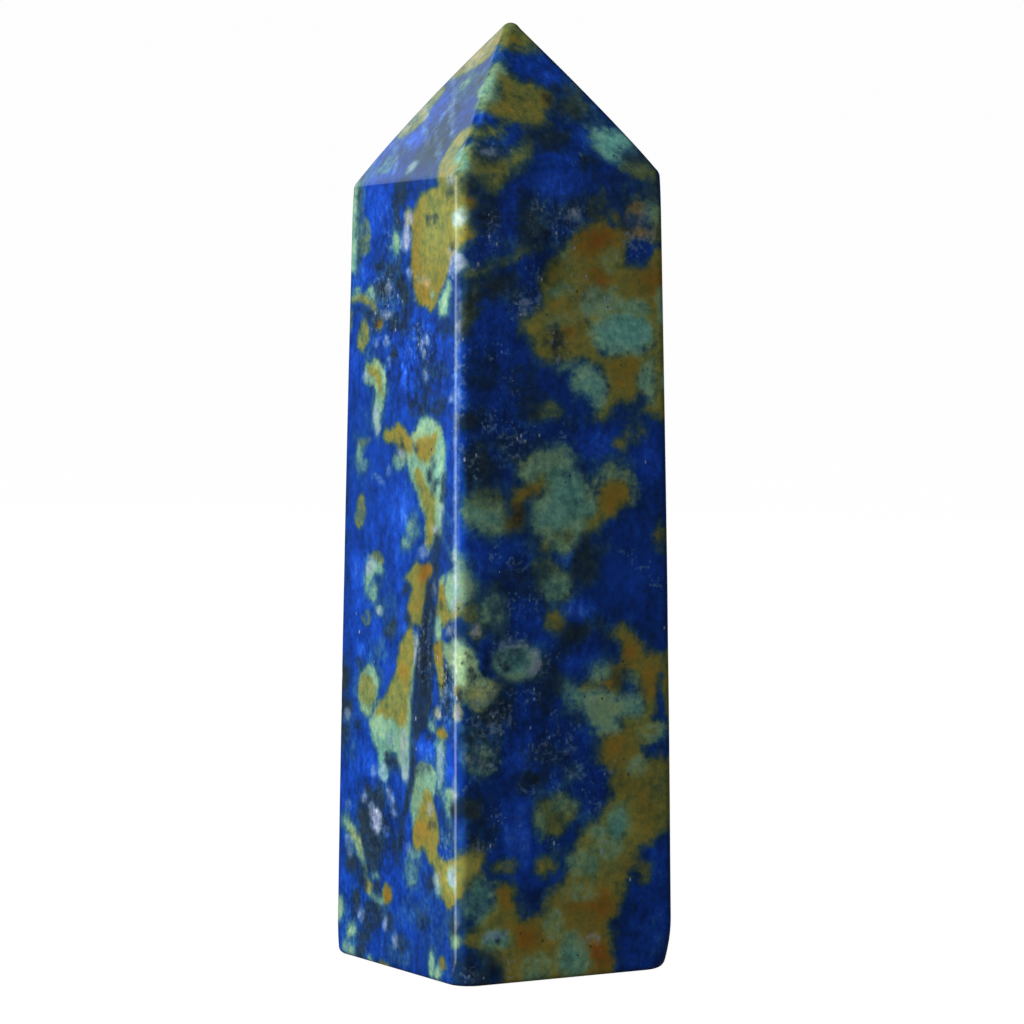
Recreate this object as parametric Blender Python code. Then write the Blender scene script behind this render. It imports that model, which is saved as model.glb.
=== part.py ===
"""A polished lapis lazuli obelisk, cut from one stone.

A slightly tapered shaft of nearly square section stands on a flat base and ends
in a low four-sided point. Lengths are in metres, +Z is up, and the origin is
the middle of the base. The wide face in view looks along -Y, the narrow one along -X.
"""
import math

import bmesh
import bpy
from mathutils import Vector

MM = 0.001

# Whole stone
HEIGHT = 80.0 * MM
BASE_WIDTH = Vector((21.07, 21.90)) * MM        # across X and across Y
SHOULDER_WIDTH = Vector((19.81, 18.97)) * MM
POINT_HALF_ANGLE = math.radians(34.94)          # from the axis to a facet of the point

# Edges rounded by grinding and polishing
BASE_RIM_RADIUS = 0.53 * MM
BASE_CORNER_RADIUS = 2.16 * MM
SHAFT_EDGE_RADIUS = 0.81 * MM
SHOULDER_CORNER_RADIUS = 0.98 * MM
RIDGE_RADIUS = 0.72 * MM
SHOULDER_BLEND = 0.30 * MM
TIP_RADIUS = 0.82 * MM
BASE_CORNER_REACH = 4.0 * MM
SHOULDER_CORNER_REACH = 3.0 * MM

# Faces that a polishing wheel leaves very slightly full
SHAFT_SWELL = 0.078 * MM
FACET_SWELL = 0.215 * MM

# Hand-cut errors: where the shoulder and the sharp tip stand, and the shoulder's slope
SHOULDER_SHIFT = Vector((0.062, -0.038)) * MM
TIP_SHIFT = Vector((0.366, -0.205)) * MM        # counted from the shoulder's middle
SHOULDER_SLOPE = Vector((0.0285, -0.0233))      # rise per length along X and Y

# Steps of the mesh
SIDE_STEPS = 3
CORNER_STEPS = 6
RIM_STEPS = 4
SHAFT_STEPS = 16
SHAFT_BUNCHING = 1.6        # rings crowd towards the base, where the corners change most
SHOULDER_STEPS = 3
FACET_STEPS = 8
TIP_STEPS = 5

# Heights that follow from the sizes above
MEAN_SHOULDER_HALF = sum(SHOULDER_WIDTH) / 4
SHARP_HEIGHT = HEIGHT + TIP_RADIUS * (1 / math.sin(POINT_HALF_ANGLE) - 1)
SHOULDER_HEIGHT = SHARP_HEIGHT - MEAN_SHOULDER_HALF / math.tan(POINT_HALF_ANGLE)


def mix(start, end, share):
    """The value a given share of the way from start to end."""
    return start + (end - start) * share


def bow(share):
    """A shallow arch: 0 at both ends and 1 midway."""
    return 4 * share * (1 - share)


def steps(count):
    """Shares from just after 0 up to 1."""
    return [index / count for index in range(1, count + 1)]


def shaft_half(z):
    """Half widths of the shaft at height z: a straight taper with a slight swell."""
    share = z / SHOULDER_HEIGHT
    swell = SHAFT_SWELL * bow(share)
    return mix(BASE_WIDTH, SHOULDER_WIDTH, share) / 2 + Vector((swell, swell))


def edge_radius(z):
    """Radius of the four long edges at height z, larger at the base and at the shoulder."""
    near_base = max(0.0, 1 - z / BASE_CORNER_REACH) ** 2
    near_shoulder = max(0.0, 1 - abs(z - SHOULDER_HEIGHT) / SHOULDER_CORNER_REACH) ** 2
    plain = SHAFT_EDGE_RADIUS if z <= SHOULDER_HEIGHT else RIDGE_RADIUS
    return (plain + (BASE_CORNER_RADIUS - plain) * near_base
            + (SHOULDER_CORNER_RADIUS - plain) * near_shoulder)


def levels():
    """Height and half widths of every ring, from the rim of the base to the tip."""
    rings = []
    for index in range(RIM_STEPS):
        angle = math.pi / 2 * index / RIM_STEPS
        z = BASE_RIM_RADIUS * (1 - math.cos(angle))
        inset = BASE_RIM_RADIUS * (1 - math.sin(angle))
        rings.append((z, shaft_half(z) - Vector((inset, inset))))

    shaft_top = SHOULDER_HEIGHT - SHOULDER_BLEND
    for share in [0.0] + steps(SHAFT_STEPS):
        z = mix(BASE_RIM_RADIUS, shaft_top, share ** SHAFT_BUNCHING)
        rings.append((z, shaft_half(z)))

    # The shoulder is a short curve from the shaft, pulled towards the sharp corner, to the facet
    shoulder_half = SHOULDER_WIDTH / 2
    facet_length = math.hypot(MEAN_SHOULDER_HALF, SHARP_HEIGHT - SHOULDER_HEIGHT)
    facet_start = SHOULDER_BLEND / facet_length
    facet_z = mix(SHOULDER_HEIGHT, SHARP_HEIGHT, facet_start)
    for share in steps(SHOULDER_STEPS):
        below, corner, above = (1 - share) ** 2, 2 * share * (1 - share), share ** 2
        z = below * shaft_top + corner * SHOULDER_HEIGHT + above * facet_z
        half = (below * shaft_half(shaft_top) + corner * shoulder_half
                + above * shoulder_half * (1 - facet_start))
        rings.append((z, half))

    # The facets run up to the ball that rounds the tip
    ball_z = SHARP_HEIGHT - TIP_RADIUS / math.sin(POINT_HALF_ANGLE)
    touch_z = ball_z + TIP_RADIUS * math.sin(POINT_HALF_ANGLE)
    facet_end = (touch_z - SHOULDER_HEIGHT) / (SHARP_HEIGHT - SHOULDER_HEIGHT)
    for share in steps(FACET_STEPS):
        climb = mix(facet_start, facet_end, share)
        swell = FACET_SWELL * bow(share)
        half = shoulder_half * (1 - climb) + Vector((swell, swell))
        rings.append((mix(SHOULDER_HEIGHT, SHARP_HEIGHT, climb), half))

    for share in steps(TIP_STEPS)[:-1]:
        angle = mix(POINT_HALF_ANGLE, math.pi / 2, share)
        half = shoulder_half / MEAN_SHOULDER_HALF * TIP_RADIUS * math.cos(angle)
        rings.append((ball_z + TIP_RADIUS * math.sin(angle), half))
    return rings


def rounded_rectangle(half, radius):
    """Points round a rectangle with rounded corners, anticlockwise from its +X side."""
    radius = min(radius, 0.98 * min(half))
    points = []
    for quarter in range(4):
        across, along = (half.x, half.y) if quarter % 2 == 0 else (half.y, half.x)
        turn = math.pi / 2 * quarter
        corner = Vector((across - radius, along - radius))
        for index in range(SIDE_STEPS + 1):
            y = mix(-corner.y, corner.y, index / SIDE_STEPS)
            points.append(turned(Vector((across, y)), turn))
        for index in range(1, CORNER_STEPS):
            angle = math.pi / 2 * index / CORNER_STEPS
            arc = radius * Vector((math.cos(angle), math.sin(angle)))
            points.append(turned(corner + arc, turn))
    return points


def turned(point, angle):
    """A flat point turned about the origin."""
    cos, sin = math.cos(angle), math.sin(angle)
    return Vector((cos * point.x - sin * point.y, sin * point.x + cos * point.y))


def hand_cut(x, y, z):
    """A point moved as the real stone leans: nothing at the base, most at the shoulder and tip."""
    low = min(z / SHOULDER_HEIGHT, 1.0)
    high = max(0.0, (z - SHOULDER_HEIGHT) / (SHARP_HEIGHT - SHOULDER_HEIGHT))
    shift = SHOULDER_SHIFT * low + TIP_SHIFT * high
    rise = (SHOULDER_SLOPE.x * x + SHOULDER_SLOPE.y * y) * min(low, 1 - high)
    return Vector((x + shift.x, y + shift.y, z + rise))


def add_ring(bm, z, half):
    """One closed ring of edges at height z."""
    outline = rounded_rectangle(half, edge_radius(z))
    verts = [bm.verts.new(hand_cut(point.x, point.y, z)) for point in outline]
    edges = [bm.edges.new((verts[index - 1], verts[index])) for index in range(len(verts))]
    return verts, edges


def make_stone():
    """The whole stone: rings bridged one to the next, closed by the flat base and the tip."""
    bm = bmesh.new()
    rings = [add_ring(bm, z, half) for z, half in levels()]
    for (_, lower), (_, upper) in zip(rings, rings[1:]):
        bmesh.ops.bridge_loops(bm, edges=lower + upper)
    base_verts, top_verts = rings[0][0], rings[-1][0]
    bm.faces.new(base_verts)
    tip = bm.verts.new(hand_cut(0.0, 0.0, HEIGHT))
    for index, vert in enumerate(top_verts):
        bm.faces.new((top_verts[index - 1], vert, tip))
    bmesh.ops.recalc_face_normals(bm, faces=bm.faces)
    mesh = bpy.data.meshes.new("obelisk")
    bm.to_mesh(mesh)
    bm.free()
    mesh.shade_smooth()
    mesh.set_sharp_from_angle(angle=math.radians(50))
    return mesh


def blue_stone():
    """Polished blue stone."""
    material = bpy.data.materials.new("lapis")
    material.use_nodes = True
    shader = material.node_tree.nodes["Principled BSDF"]
    shader.inputs["Base Color"].default_value = (0.014, 0.075, 0.33, 1.0)
    shader.inputs["Roughness"].default_value = 0.15
    shader.inputs["Metallic"].default_value = 0.0
    return material


def clear_scene():
    for item in list(bpy.data.objects):
        bpy.data.objects.remove(item, do_unlink=True)


def main():
    clear_scene()
    mesh = make_stone()
    mesh.materials.append(blue_stone())
    obelisk = bpy.data.objects.new("obelisk", mesh)
    bpy.context.scene.collection.objects.link(obelisk)


main()
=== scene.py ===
import math

import bpy
import numpy as np
from mathutils import Matrix, Vector


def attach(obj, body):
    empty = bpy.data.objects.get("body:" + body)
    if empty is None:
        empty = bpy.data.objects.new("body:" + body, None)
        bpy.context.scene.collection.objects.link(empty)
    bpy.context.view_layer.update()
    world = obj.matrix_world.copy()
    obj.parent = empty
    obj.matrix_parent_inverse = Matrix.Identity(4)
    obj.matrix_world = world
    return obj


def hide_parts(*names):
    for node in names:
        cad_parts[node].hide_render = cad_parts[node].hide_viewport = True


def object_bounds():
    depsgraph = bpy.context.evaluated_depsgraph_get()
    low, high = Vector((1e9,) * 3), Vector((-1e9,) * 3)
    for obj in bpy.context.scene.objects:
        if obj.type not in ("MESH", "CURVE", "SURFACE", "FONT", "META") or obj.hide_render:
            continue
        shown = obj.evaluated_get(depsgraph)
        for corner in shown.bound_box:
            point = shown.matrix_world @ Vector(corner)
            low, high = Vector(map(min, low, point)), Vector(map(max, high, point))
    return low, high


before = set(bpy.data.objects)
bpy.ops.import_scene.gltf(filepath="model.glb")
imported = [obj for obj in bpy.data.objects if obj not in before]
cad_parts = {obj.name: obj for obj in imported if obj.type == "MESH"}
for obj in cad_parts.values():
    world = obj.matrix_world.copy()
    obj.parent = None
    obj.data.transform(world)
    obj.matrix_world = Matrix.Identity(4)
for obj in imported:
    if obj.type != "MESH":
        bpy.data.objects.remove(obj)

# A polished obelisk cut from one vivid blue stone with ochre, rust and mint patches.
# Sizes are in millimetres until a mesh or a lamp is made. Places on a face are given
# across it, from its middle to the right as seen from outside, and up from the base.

cad_low, cad_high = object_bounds()

MM = 0.001

# Whole stone
HEIGHT = cad_high.z / MM
BASE_WIDTH = np.array((21.068, 21.898))           # across X and across Y
SHOULDER_WIDTH = np.array((19.81, 18.97))
POINT_HALF_ANGLE = math.radians(34.94)          # from the axis to a facet of the point

# Edges rounded by grinding and polishing
BASE_RIM_RADIUS = 0.53
BASE_CORNER_RADII = np.array((2.16, 1.40, 2.16, 2.80))  # corners +X +Y, +Y -X, -X -Y and -Y +X
SHAFT_EDGE_RADIUS = 0.81
SHOULDER_CORNER_RADIUS = 0.98
RIDGE_RADIUS = 0.72
SHOULDER_BLEND = 0.30
TIP_RADIUS = 0.82
BASE_CORNER_REACH = np.array((4.0, 3.0, 2.4, 4.4))      # how far up each corner's larger radius fades
SHOULDER_CORNER_REACH = 3.0
LARGEST_RADIUS = 0.98                           # of a ring's smaller half width

# Faces that a polishing wheel leaves very slightly full
SHAFT_SWELL = 0.078
FACET_SWELL = 0.215

# Slight errors of hand cutting
SHOULDER_SHIFT = np.array((0.062, -0.038))
TIP_SHIFT = np.array((0.366, -0.205))
SHOULDER_SLOPE = np.array((0.0285, -0.0233))

# Relief of the surface: low polishing waves, and the black seam a little sunk
WAVE_DEPTH = 0.012
WAVE_SIZE = 6.0
SEAM_DEPTH = 0.05
SEAM_EDGE = (0.5, 2.5)                          # depth in the black where it starts and is full
CALM_BASE = (0.6, 2.0)                          # heights over which the relief sets in
CALM_TIP = (0.3, 2.0)                           # and distances below the tip where it fades

# Steps of the mesh: points along the sides that look +X, +Y, -X and -Y, then the rows
SIDE_STEPS = (56, 56, 80, 80)
CORNER_STEPS = 8
BASE_STEPS = 10
INNERMOST = 0.03                                # the base's smallest ring, as a share of its rim
RIM_STEPS = 5
SHAFT_STEPS = 230
SHOULDER_STEPS = 5
FACET_STEPS = 56
TIP_STEPS = 6

# Heights that follow from the sizes above
MEAN_SHOULDER_HALF = SHOULDER_WIDTH.sum() / 4
SHARP_HEIGHT = HEIGHT + TIP_RADIUS * (1 / math.sin(POINT_HALF_ANGLE) - 1)
SHOULDER_HEIGHT = SHARP_HEIGHT - MEAN_SHOULDER_HALF / math.tan(POINT_HALF_ANGLE)


def mix(start, end, share):
    """The value a given share of the way from start to end."""
    return start + (end - start) * share


def bow(share):
    """A shallow arch: 0 at both ends and 1 midway."""
    return 4 * share * (1 - share)


def smooth_step(value, low, high):
    """0 below low, 1 above high, and a smooth rise between them."""
    share = np.clip((value - low) / (high - low), 0, 1)
    return share * share * (3 - 2 * share)


def shaft_half(z):
    """Half widths of the shaft at heights z: a straight taper with a slight swell."""
    share = (z / SHOULDER_HEIGHT)[:, None]
    return mix(BASE_WIDTH, SHOULDER_WIDTH, share) / 2 + SHAFT_SWELL * bow(share)


def facet_half(z):
    """Half widths of the sharp pyramid at heights z, with the facets' slight swell."""
    share = ((z - SHOULDER_HEIGHT) / (SHARP_HEIGHT - SHOULDER_HEIGHT))[:, None]
    return SHOULDER_WIDTH / 2 * (1 - share) + FACET_SWELL * bow(share)


def edge_radius(z):
    """Radius of each of the four long edges, larger at the base and at the shoulder."""
    z = z[:, None]
    near_base = np.clip(1 - z / BASE_CORNER_REACH, 0, 1) ** 2
    near_shoulder = np.clip(1 - abs(z - SHOULDER_HEIGHT) / SHOULDER_CORNER_REACH, 0, 1) ** 2
    plain = np.where(z <= SHOULDER_HEIGHT, SHAFT_EDGE_RADIUS, RIDGE_RADIUS)
    return (plain + (BASE_CORNER_RADII - plain) * near_base
            + (SHOULDER_CORNER_RADIUS - plain) * near_shoulder)


def stone_rows():
    """Height, half widths and edge radii of every ring, from the middle of the base to the tip.

    The base is a flat ring drawn in to nothing, the rim a quarter circle, the shaft a taper,
    the shoulder a short quadratic curve, and the facets a slope that ends in a ball.
    """
    rim_half = shaft_half(np.zeros(1)) - BASE_RIM_RADIUS
    inward = np.linspace(INNERMOST, 1, BASE_STEPS, endpoint=False)
    base = np.c_[np.zeros(BASE_STEPS), inward[:, None] * rim_half]
    base_radius = inward[:, None] * (BASE_CORNER_RADII - BASE_RIM_RADIUS)

    angle = np.linspace(0, math.pi / 2, RIM_STEPS, endpoint=False)
    z = BASE_RIM_RADIUS * (1 - np.cos(angle))
    inset = BASE_RIM_RADIUS * (1 - np.sin(angle))
    rim = np.c_[z, shaft_half(z) - inset[:, None]]

    shaft_top = SHOULDER_HEIGHT - SHOULDER_BLEND
    z = np.linspace(BASE_RIM_RADIUS, shaft_top, SHAFT_STEPS)
    shaft = np.c_[z, shaft_half(z)]

    facet_length = math.hypot(MEAN_SHOULDER_HALF, SHARP_HEIGHT - SHOULDER_HEIGHT)
    facet_start = mix(SHOULDER_HEIGHT, SHARP_HEIGHT, SHOULDER_BLEND / facet_length)
    share = np.linspace(0, 1, SHOULDER_STEPS + 1)[1:, None]
    corner = np.r_[SHOULDER_HEIGHT, SHOULDER_WIDTH / 2]
    above = np.r_[facet_start, facet_half(np.array([facet_start]))[0]]
    shoulder = (1 - share) ** 2 * shaft[-1] + 2 * share * (1 - share) * corner + share ** 2 * above

    ball_z = SHARP_HEIGHT - TIP_RADIUS / math.sin(POINT_HALF_ANGLE)
    facet_end = ball_z + TIP_RADIUS * math.sin(POINT_HALF_ANGLE)
    share = np.linspace(0, 1, FACET_STEPS + 1)[1:]
    z = mix(facet_start, facet_end, share)
    swell = FACET_SWELL * bow(share)
    flat_half = SHOULDER_WIDTH / 2 * ((SHARP_HEIGHT - z) / (SHARP_HEIGHT - SHOULDER_HEIGHT))[:, None]
    facets = np.c_[z, flat_half + swell[:, None]]

    angle = np.linspace(POINT_HALF_ANGLE, math.pi / 2, TIP_STEPS + 1)[1:-1]
    ball_half = TIP_RADIUS * np.cos(angle)[:, None] * SHOULDER_WIDTH / 2 / MEAN_SHOULDER_HALF
    ball = np.c_[ball_z + TIP_RADIUS * np.sin(angle), ball_half]

    rows = np.vstack([base, rim, shaft, shoulder, facets, ball])
    radius = edge_radius(rows[:, 0])
    radius[:BASE_STEPS] = base_radius
    radius[BASE_STEPS:BASE_STEPS + RIM_STEPS] -= inset[:, None]
    radius = np.minimum(radius, LARGEST_RADIUS * rows[:, 1:].min(axis=1)[:, None])
    depth_under = np.zeros(len(rows))
    depth_under[:BASE_STEPS] = (1 - inward) * rim_half.min()
    return rows[:, 0], rows[:, 1:], radius, depth_under


def stone_columns():
    """For each point round a ring: its side, its slide along the flat and its turn round the corner."""
    side, slide, bend = [], [], []
    for number, count in enumerate(SIDE_STEPS):
        flat = np.linspace(-1, 1, count + 1)
        arc = np.linspace(0, math.pi / 2, CORNER_STEPS + 1)[1:-1]
        side.append(np.full(len(flat) + len(arc), number))
        slide.append(np.r_[flat, np.ones(len(arc))])
        bend.append(np.r_[np.zeros(len(flat)), arc])
    return np.concatenate(side), np.concatenate(slide), np.concatenate(bend)


class Stone:
    """The stone's surface as a grid of rings and columns, with its unrolled coordinates.

    Every point is worked out from its ring's height, half widths and corner radius, and its
    column's side, slide and bend: along a flat the point slides between the two corners, and
    round a corner it follows an arc of the ring's radius.
    """

    def __init__(self):
        z, half, radius, under = stone_rows()
        side, slide, bend = stone_columns()
        odd = side % 2
        across = np.where(odd, half[:, 1:2], half[:, 0:1])
        along = np.where(odd, half[:, 0:1], half[:, 1:2])
        radius = mix(radius[:, side - 1], radius[:, side], (slide + 1) / 2)
        out = across - radius * (1 - np.cos(bend))
        sideways = slide * (along - radius) + radius * np.sin(bend)
        turn = side * math.pi / 2
        self.x = np.cos(turn) * out - np.sin(turn) * sideways
        self.y = np.sin(turn) * out + np.cos(turn) * sideways
        self.z = np.repeat(z[:, None], len(side), axis=1)
        self.out_x = np.cos(turn + bend) + 0 * self.z
        self.out_y = np.sin(turn + bend) + 0 * self.z

        # Distance round the sharp-cornered section, anticlockwise from the edge between -X and -Y
        width, depth = 2 * half[:, 0:1], 2 * half[:, 1:2]
        middles = {"front": width / 2, "right": width + depth / 2,
                   "back": -(width / 2 + depth), "left": -depth / 2}
        own = np.select([side == 0, side == 1, side == 2],
                        [middles["right"], middles["back"], middles["left"]], middles["front"])
        corner_run = np.where(bend > 0, radius * (2 * bend / (math.pi / 2) - 1), 0)
        flat_run = np.where(bend > 0, along, slide * (along - radius))
        self.run = own + flat_run + corner_run
        self.girth = 2 * (width + depth)
        self.middles = middles
        self.up = self.z - under[:, None]

    def across(self, face):
        """Distance to the right of the middle of a face, unrolled past its edges."""
        offset = self.run - self.middles[face]
        return offset - self.girth * np.round(offset / self.girth)


LATTICE = 64                                    # cells along each side before the noise repeats
LATTICE_START = 1000.5                          # keeps every place on the positive side


def lattice_noise(stone, size, seed):
    """Smooth noise between -1 and 1: random values on a cubic lattice, blended with smoothsteps."""
    table = np.random.default_rng(seed).uniform(-1, 1, (LATTICE, LATTICE, LATTICE))
    place = np.stack([stone.x, stone.y, stone.z]) / size + LATTICE_START
    low = np.floor(place).astype(int)
    share = place - low
    share = share * share * (3 - 2 * share)
    total = 0
    for i, j, k in np.ndindex(2, 2, 2):
        weight = abs(1 - i - share[0]) * abs(1 - j - share[1]) * abs(1 - k - share[2])
        corner = tuple((low[axis] + step) % LATTICE for axis, step in enumerate((i, j, k)))
        total = total + weight * table[corner]
    return total


# Marks drawn on the unrolled faces

def oval(across, up, half_across, half_up, share=1.0, turn=0, soft=1.0):
    """An oval patch: its middle, half sizes, share of cover, turn in degrees and softness of edge."""
    return {"form": "oval", "places": np.array([(across, up)]), "half": (half_across, half_up),
            "turn": math.radians(turn), "share": share, "soft": soft}


def ovals(*rows):
    """Several ovals, each given by its own row of values."""
    return [oval(*row) for row in rows]


def area(*places, share=1.0, soft=1.0):
    """A patch inside a rounded outline round places given as across, up, across, up and so on."""
    return {"form": "area", "places": rounded(np.reshape(places, (-1, 2))), "share": share, "soft": soft}


def streak(*places, share=1.0, soft=1.0):
    """A band through places given as across, up and half width."""
    return {"form": "streak", "places": np.reshape(places, (-1, 3)), "share": share, "soft": soft}


def rounded(places):
    """An outline with its corners cut twice, each time at a quarter and three quarters of a side."""
    for _ in range(2):
        following = np.roll(places, -1, axis=0)
        places = np.stack([mix(places, following, 0.25), mix(places, following, 0.75)], 1).reshape(-1, 2)
    return places


TINY = 1e-6                                     # keeps the middle of an oval from dividing by zero
OVAL_SLACK = 0.15                               # slack of the limit on an oval's depth


def oval_depth(mark, across, up):
    """Depth inside an oval: the scaled radius times one less itself, over that radius's slope.

    It is held to the smaller half size times one less the scaled radius, with a little slack.
    """
    u, v = across - mark["places"][0, 0], up - mark["places"][0, 1]
    cosine, sine = math.cos(mark["turn"]), math.sin(mark["turn"])
    u, v = cosine * u + sine * v, cosine * v - sine * u
    half_u, half_v = mark["half"]
    scaled = np.hypot(u / half_u, v / half_v) + TINY
    slope = np.hypot(u / half_u ** 2, v / half_v ** 2) + TINY
    return np.minimum(scaled * (1 - scaled) / slope, min(half_u, half_v) * (1 - scaled) + OVAL_SLACK)


def line_gap(start, end, across, up):
    """Distance to a straight line between two places, and how far along it the nearest point is."""
    run = end - start
    share = ((across - start[0]) * run[0] + (up - start[1]) * run[1]) / (run @ run + 1e-12)
    share = np.clip(share, 0, 1)
    return np.hypot(across - start[0] - share * run[0], up - start[1] - share * run[1]), share


def area_depth(mark, across, up):
    """Depth inside an outline: the distance to its nearest side, positive where it winds round."""
    starts = mark["places"]
    nearest = np.full(across.shape, 1e9)
    inside = np.zeros(across.shape, bool)
    for start, end in zip(starts, np.roll(starts, -1, axis=0)):
        nearest = np.minimum(nearest, line_gap(start, end, across, up)[0])
        rise = end[1] - start[1]
        if rise != 0:
            crosses = (start[1] > up) != (end[1] > up)
            inside ^= crosses & (across < start[0] + (up - start[1]) * (end[0] - start[0]) / rise)
    return np.where(inside, nearest, -nearest)


def streak_depth(mark, across, up):
    """Depth inside a band: its half width less the distance to its middle line."""
    depth = np.full(across.shape, -1e9)
    for start, end in zip(mark["places"], mark["places"][1:]):
        gap, share = line_gap(start[:2], end[:2], across, up)
        depth = np.maximum(depth, mix(start[2], end[2], share) - gap)
    return depth


DEPTHS = {"oval": oval_depth, "area": area_depth, "streak": streak_depth}
MINERALS = ("ochre", "mint", "black", "pale", "speckle")
SOFTNESS = {"left": 0.40, "front": 0.72, "right": 0.40, "back": 0.60}  # half width of an edge
BROADER = {"black": 1.3, "speckle": 0.8}        # minerals with wider or narrower edges
DEEPEST = 3.0                                   # largest depth, in multiples of the softness
SHARE_DEPTH = 1.5                               # a share of cover s keeps the depth below 1.5 (s - 0.5)
WIDEST_STREAK = 0.8
UNDERLAP = 2.0                                  # ochre runs on so far under the mint that it cuts

# The faces are named as seen from the view: left is -X, front -Y, right +X and back +Y.
# The two turned away repeat those marks of the face opposite, turned half round, that stay
# clear of the edges in sight, and carry a few of their own.
OPPOSITES = {"left": "right", "front": "back"}
TURNING_HEIGHT = 33.0
CLEAR_ACROSS = {"left": (-14.0, 8.4), "front": (-8.2, 14.0)}
CLEAR_UP = (2.0, 70.0)
CLEAR_MARGIN = 0.4                              # of a mark that isn't an oval

# How far drawn lines stray from side to side, and over what distance
SLOW_WANDER, SLOW_SIZE = 0.18, 1.7
QUICK_WANDER, QUICK_SIZE = 0.16, 0.75

# Washes: a face's ground fades between two distances from its middle, and a soft oval falls
# off with the exponential of its scaled radius squared and raised to a power
GROUND_FADE = (11.5, 9.0)
WASH_FALL = 0.8
WASH_POWER = 1.3
WASH_REACH = 1.2                                # half sizes that have to stay clear of the edges in sight


def repeats(face, low, high):
    """Whether a mark between two places stays clear of the edges in sight once it is turned."""
    if face not in OPPOSITES:
        return False
    left, right = CLEAR_ACROSS[face]
    return low[0] > left and high[0] < right and low[1] > CLEAR_UP[0] and high[1] < CLEAR_UP[1]


def turned(mark):
    """The same mark turned half round about the middle of its face at the turning height."""
    places = mark["places"].copy()
    places[:, 0] = -places[:, 0]
    places[:, 1] = 2 * TURNING_HEIGHT - places[:, 1]
    return mark | {"places": places}


def repeated_coats(coats):
    """The coats of the faces turned away that repeat those of the faces opposite."""
    repeated = []
    for face, mineral, marks in coats:
        kept = []
        for mark in marks:
            margin = max(mark.get("half", (CLEAR_MARGIN,)))
            places = mark["places"][:, :2]
            if repeats(face, places.min(0) - margin, places.max(0) + margin):
                kept.append(turned(mark))
        if kept:
            repeated.append((OPPOSITES[face], mineral, kept))
    return repeated


class Sheet:
    """The unrolled faces, slightly warped so that every drawn line wanders as a natural one does."""

    def __init__(self, stone):
        self.shape = stone.z.shape
        wander = []
        for seed in (11, 23):
            slow = lattice_noise(stone, SLOW_SIZE, seed)
            quick = lattice_noise(stone, QUICK_SIZE, seed + 5)
            wander.append(SLOW_WANDER * slow + QUICK_WANDER * quick)
        self.across = {face: stone.across(face) + wander[0] for face in stone.middles}
        self.up = stone.up + wander[1]

    def cover(self, face, mineral, marks):
        """How deep each point lies in the marks, as a multiple of their softness."""
        softness = SOFTNESS[face] * BROADER.get(mineral, 1.0)
        reach = DEEPEST * softness
        across, up = self.across[face], self.up
        field = np.full(self.shape, -DEEPEST)
        for mark in marks:
            margin = reach + max(mark.get("half", (WIDEST_STREAK,)))
            low = mark["places"][:, :2].min(0) - margin
            high = mark["places"][:, :2].max(0) + margin
            near = (across > low[0]) & (across < high[0]) & (up > low[1]) & (up < high[1])
            depth = DEPTHS[mark["form"]](mark, across[near], up[near]) / (softness * mark["soft"])
            if mark["share"] < 1:
                depth = np.minimum(depth, SHARE_DEPTH * (mark["share"] - 0.5))
            field[near] = np.maximum(field[near], np.clip(depth, -DEEPEST, DEEPEST))
        return field

    def paint(self, coats):
        """The depth of each mineral, with every coat laid over the ones before it."""
        fields = {mineral: np.full(self.shape, -DEEPEST) for mineral in MINERALS}
        for face, mineral, marks in repeated_coats(coats) + coats:
            level = self.cover(face, mineral, marks)
            if mineral == "ochre":
                under = np.minimum(level + UNDERLAP, fields["mint"])
                fields["ochre"] = np.maximum.reduce([fields["ochre"], level, under])
                fields["mint"] = np.minimum(fields["mint"], -level)
            elif mineral == "blue":
                fields["ochre"] = np.minimum(fields["ochre"], -level)
                fields["mint"] = np.minimum(fields["mint"], -level)
            else:
                fields[mineral] = np.maximum(fields[mineral], level)
        return fields

    def wash(self, grounds, washes):
        """A slow field: each face's ground, then soft ovals that draw it towards their own value."""
        field = np.zeros(self.shape)
        for face, value in grounds.items():
            field = mix(field, value, smooth_step(abs(self.across[face]), *GROUND_FADE))
        for face, rows in washes:
            for across, up, half_across, half_up, value in rows:
                field = self.draw(field, face, across, up, half_across, half_up, value)
                reach = np.array((half_across, half_up)) * WASH_REACH
                if repeats(face, (across, up) - reach, (across, up) + reach):
                    field = self.draw(field, OPPOSITES[face], -across, 2 * TURNING_HEIGHT - up,
                                      half_across, half_up, value)
        return field

    def draw(self, field, face, across, up, half_across, half_up, value):
        """The field drawn towards a value inside one soft oval."""
        u = (self.across[face] - across) / half_across
        v = (self.up - up) / half_up
        return mix(field, value, np.exp(-WASH_FALL * (u * u + v * v) ** WASH_POWER))


COATS = []
WASHES = {}


def coat(face, mineral, *marks):
    """Marks of one mineral on one face, laid over every coat before them."""
    COATS.append((face, mineral, marks))


def wash(field, face, *rows):
    """Soft ovals that draw a field towards a value, each given as across, up, half sizes and value."""
    WASHES.setdefault(field, []).append((face, rows))


# Every patch of the stone, face by face, in the order in which one lies over another

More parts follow.
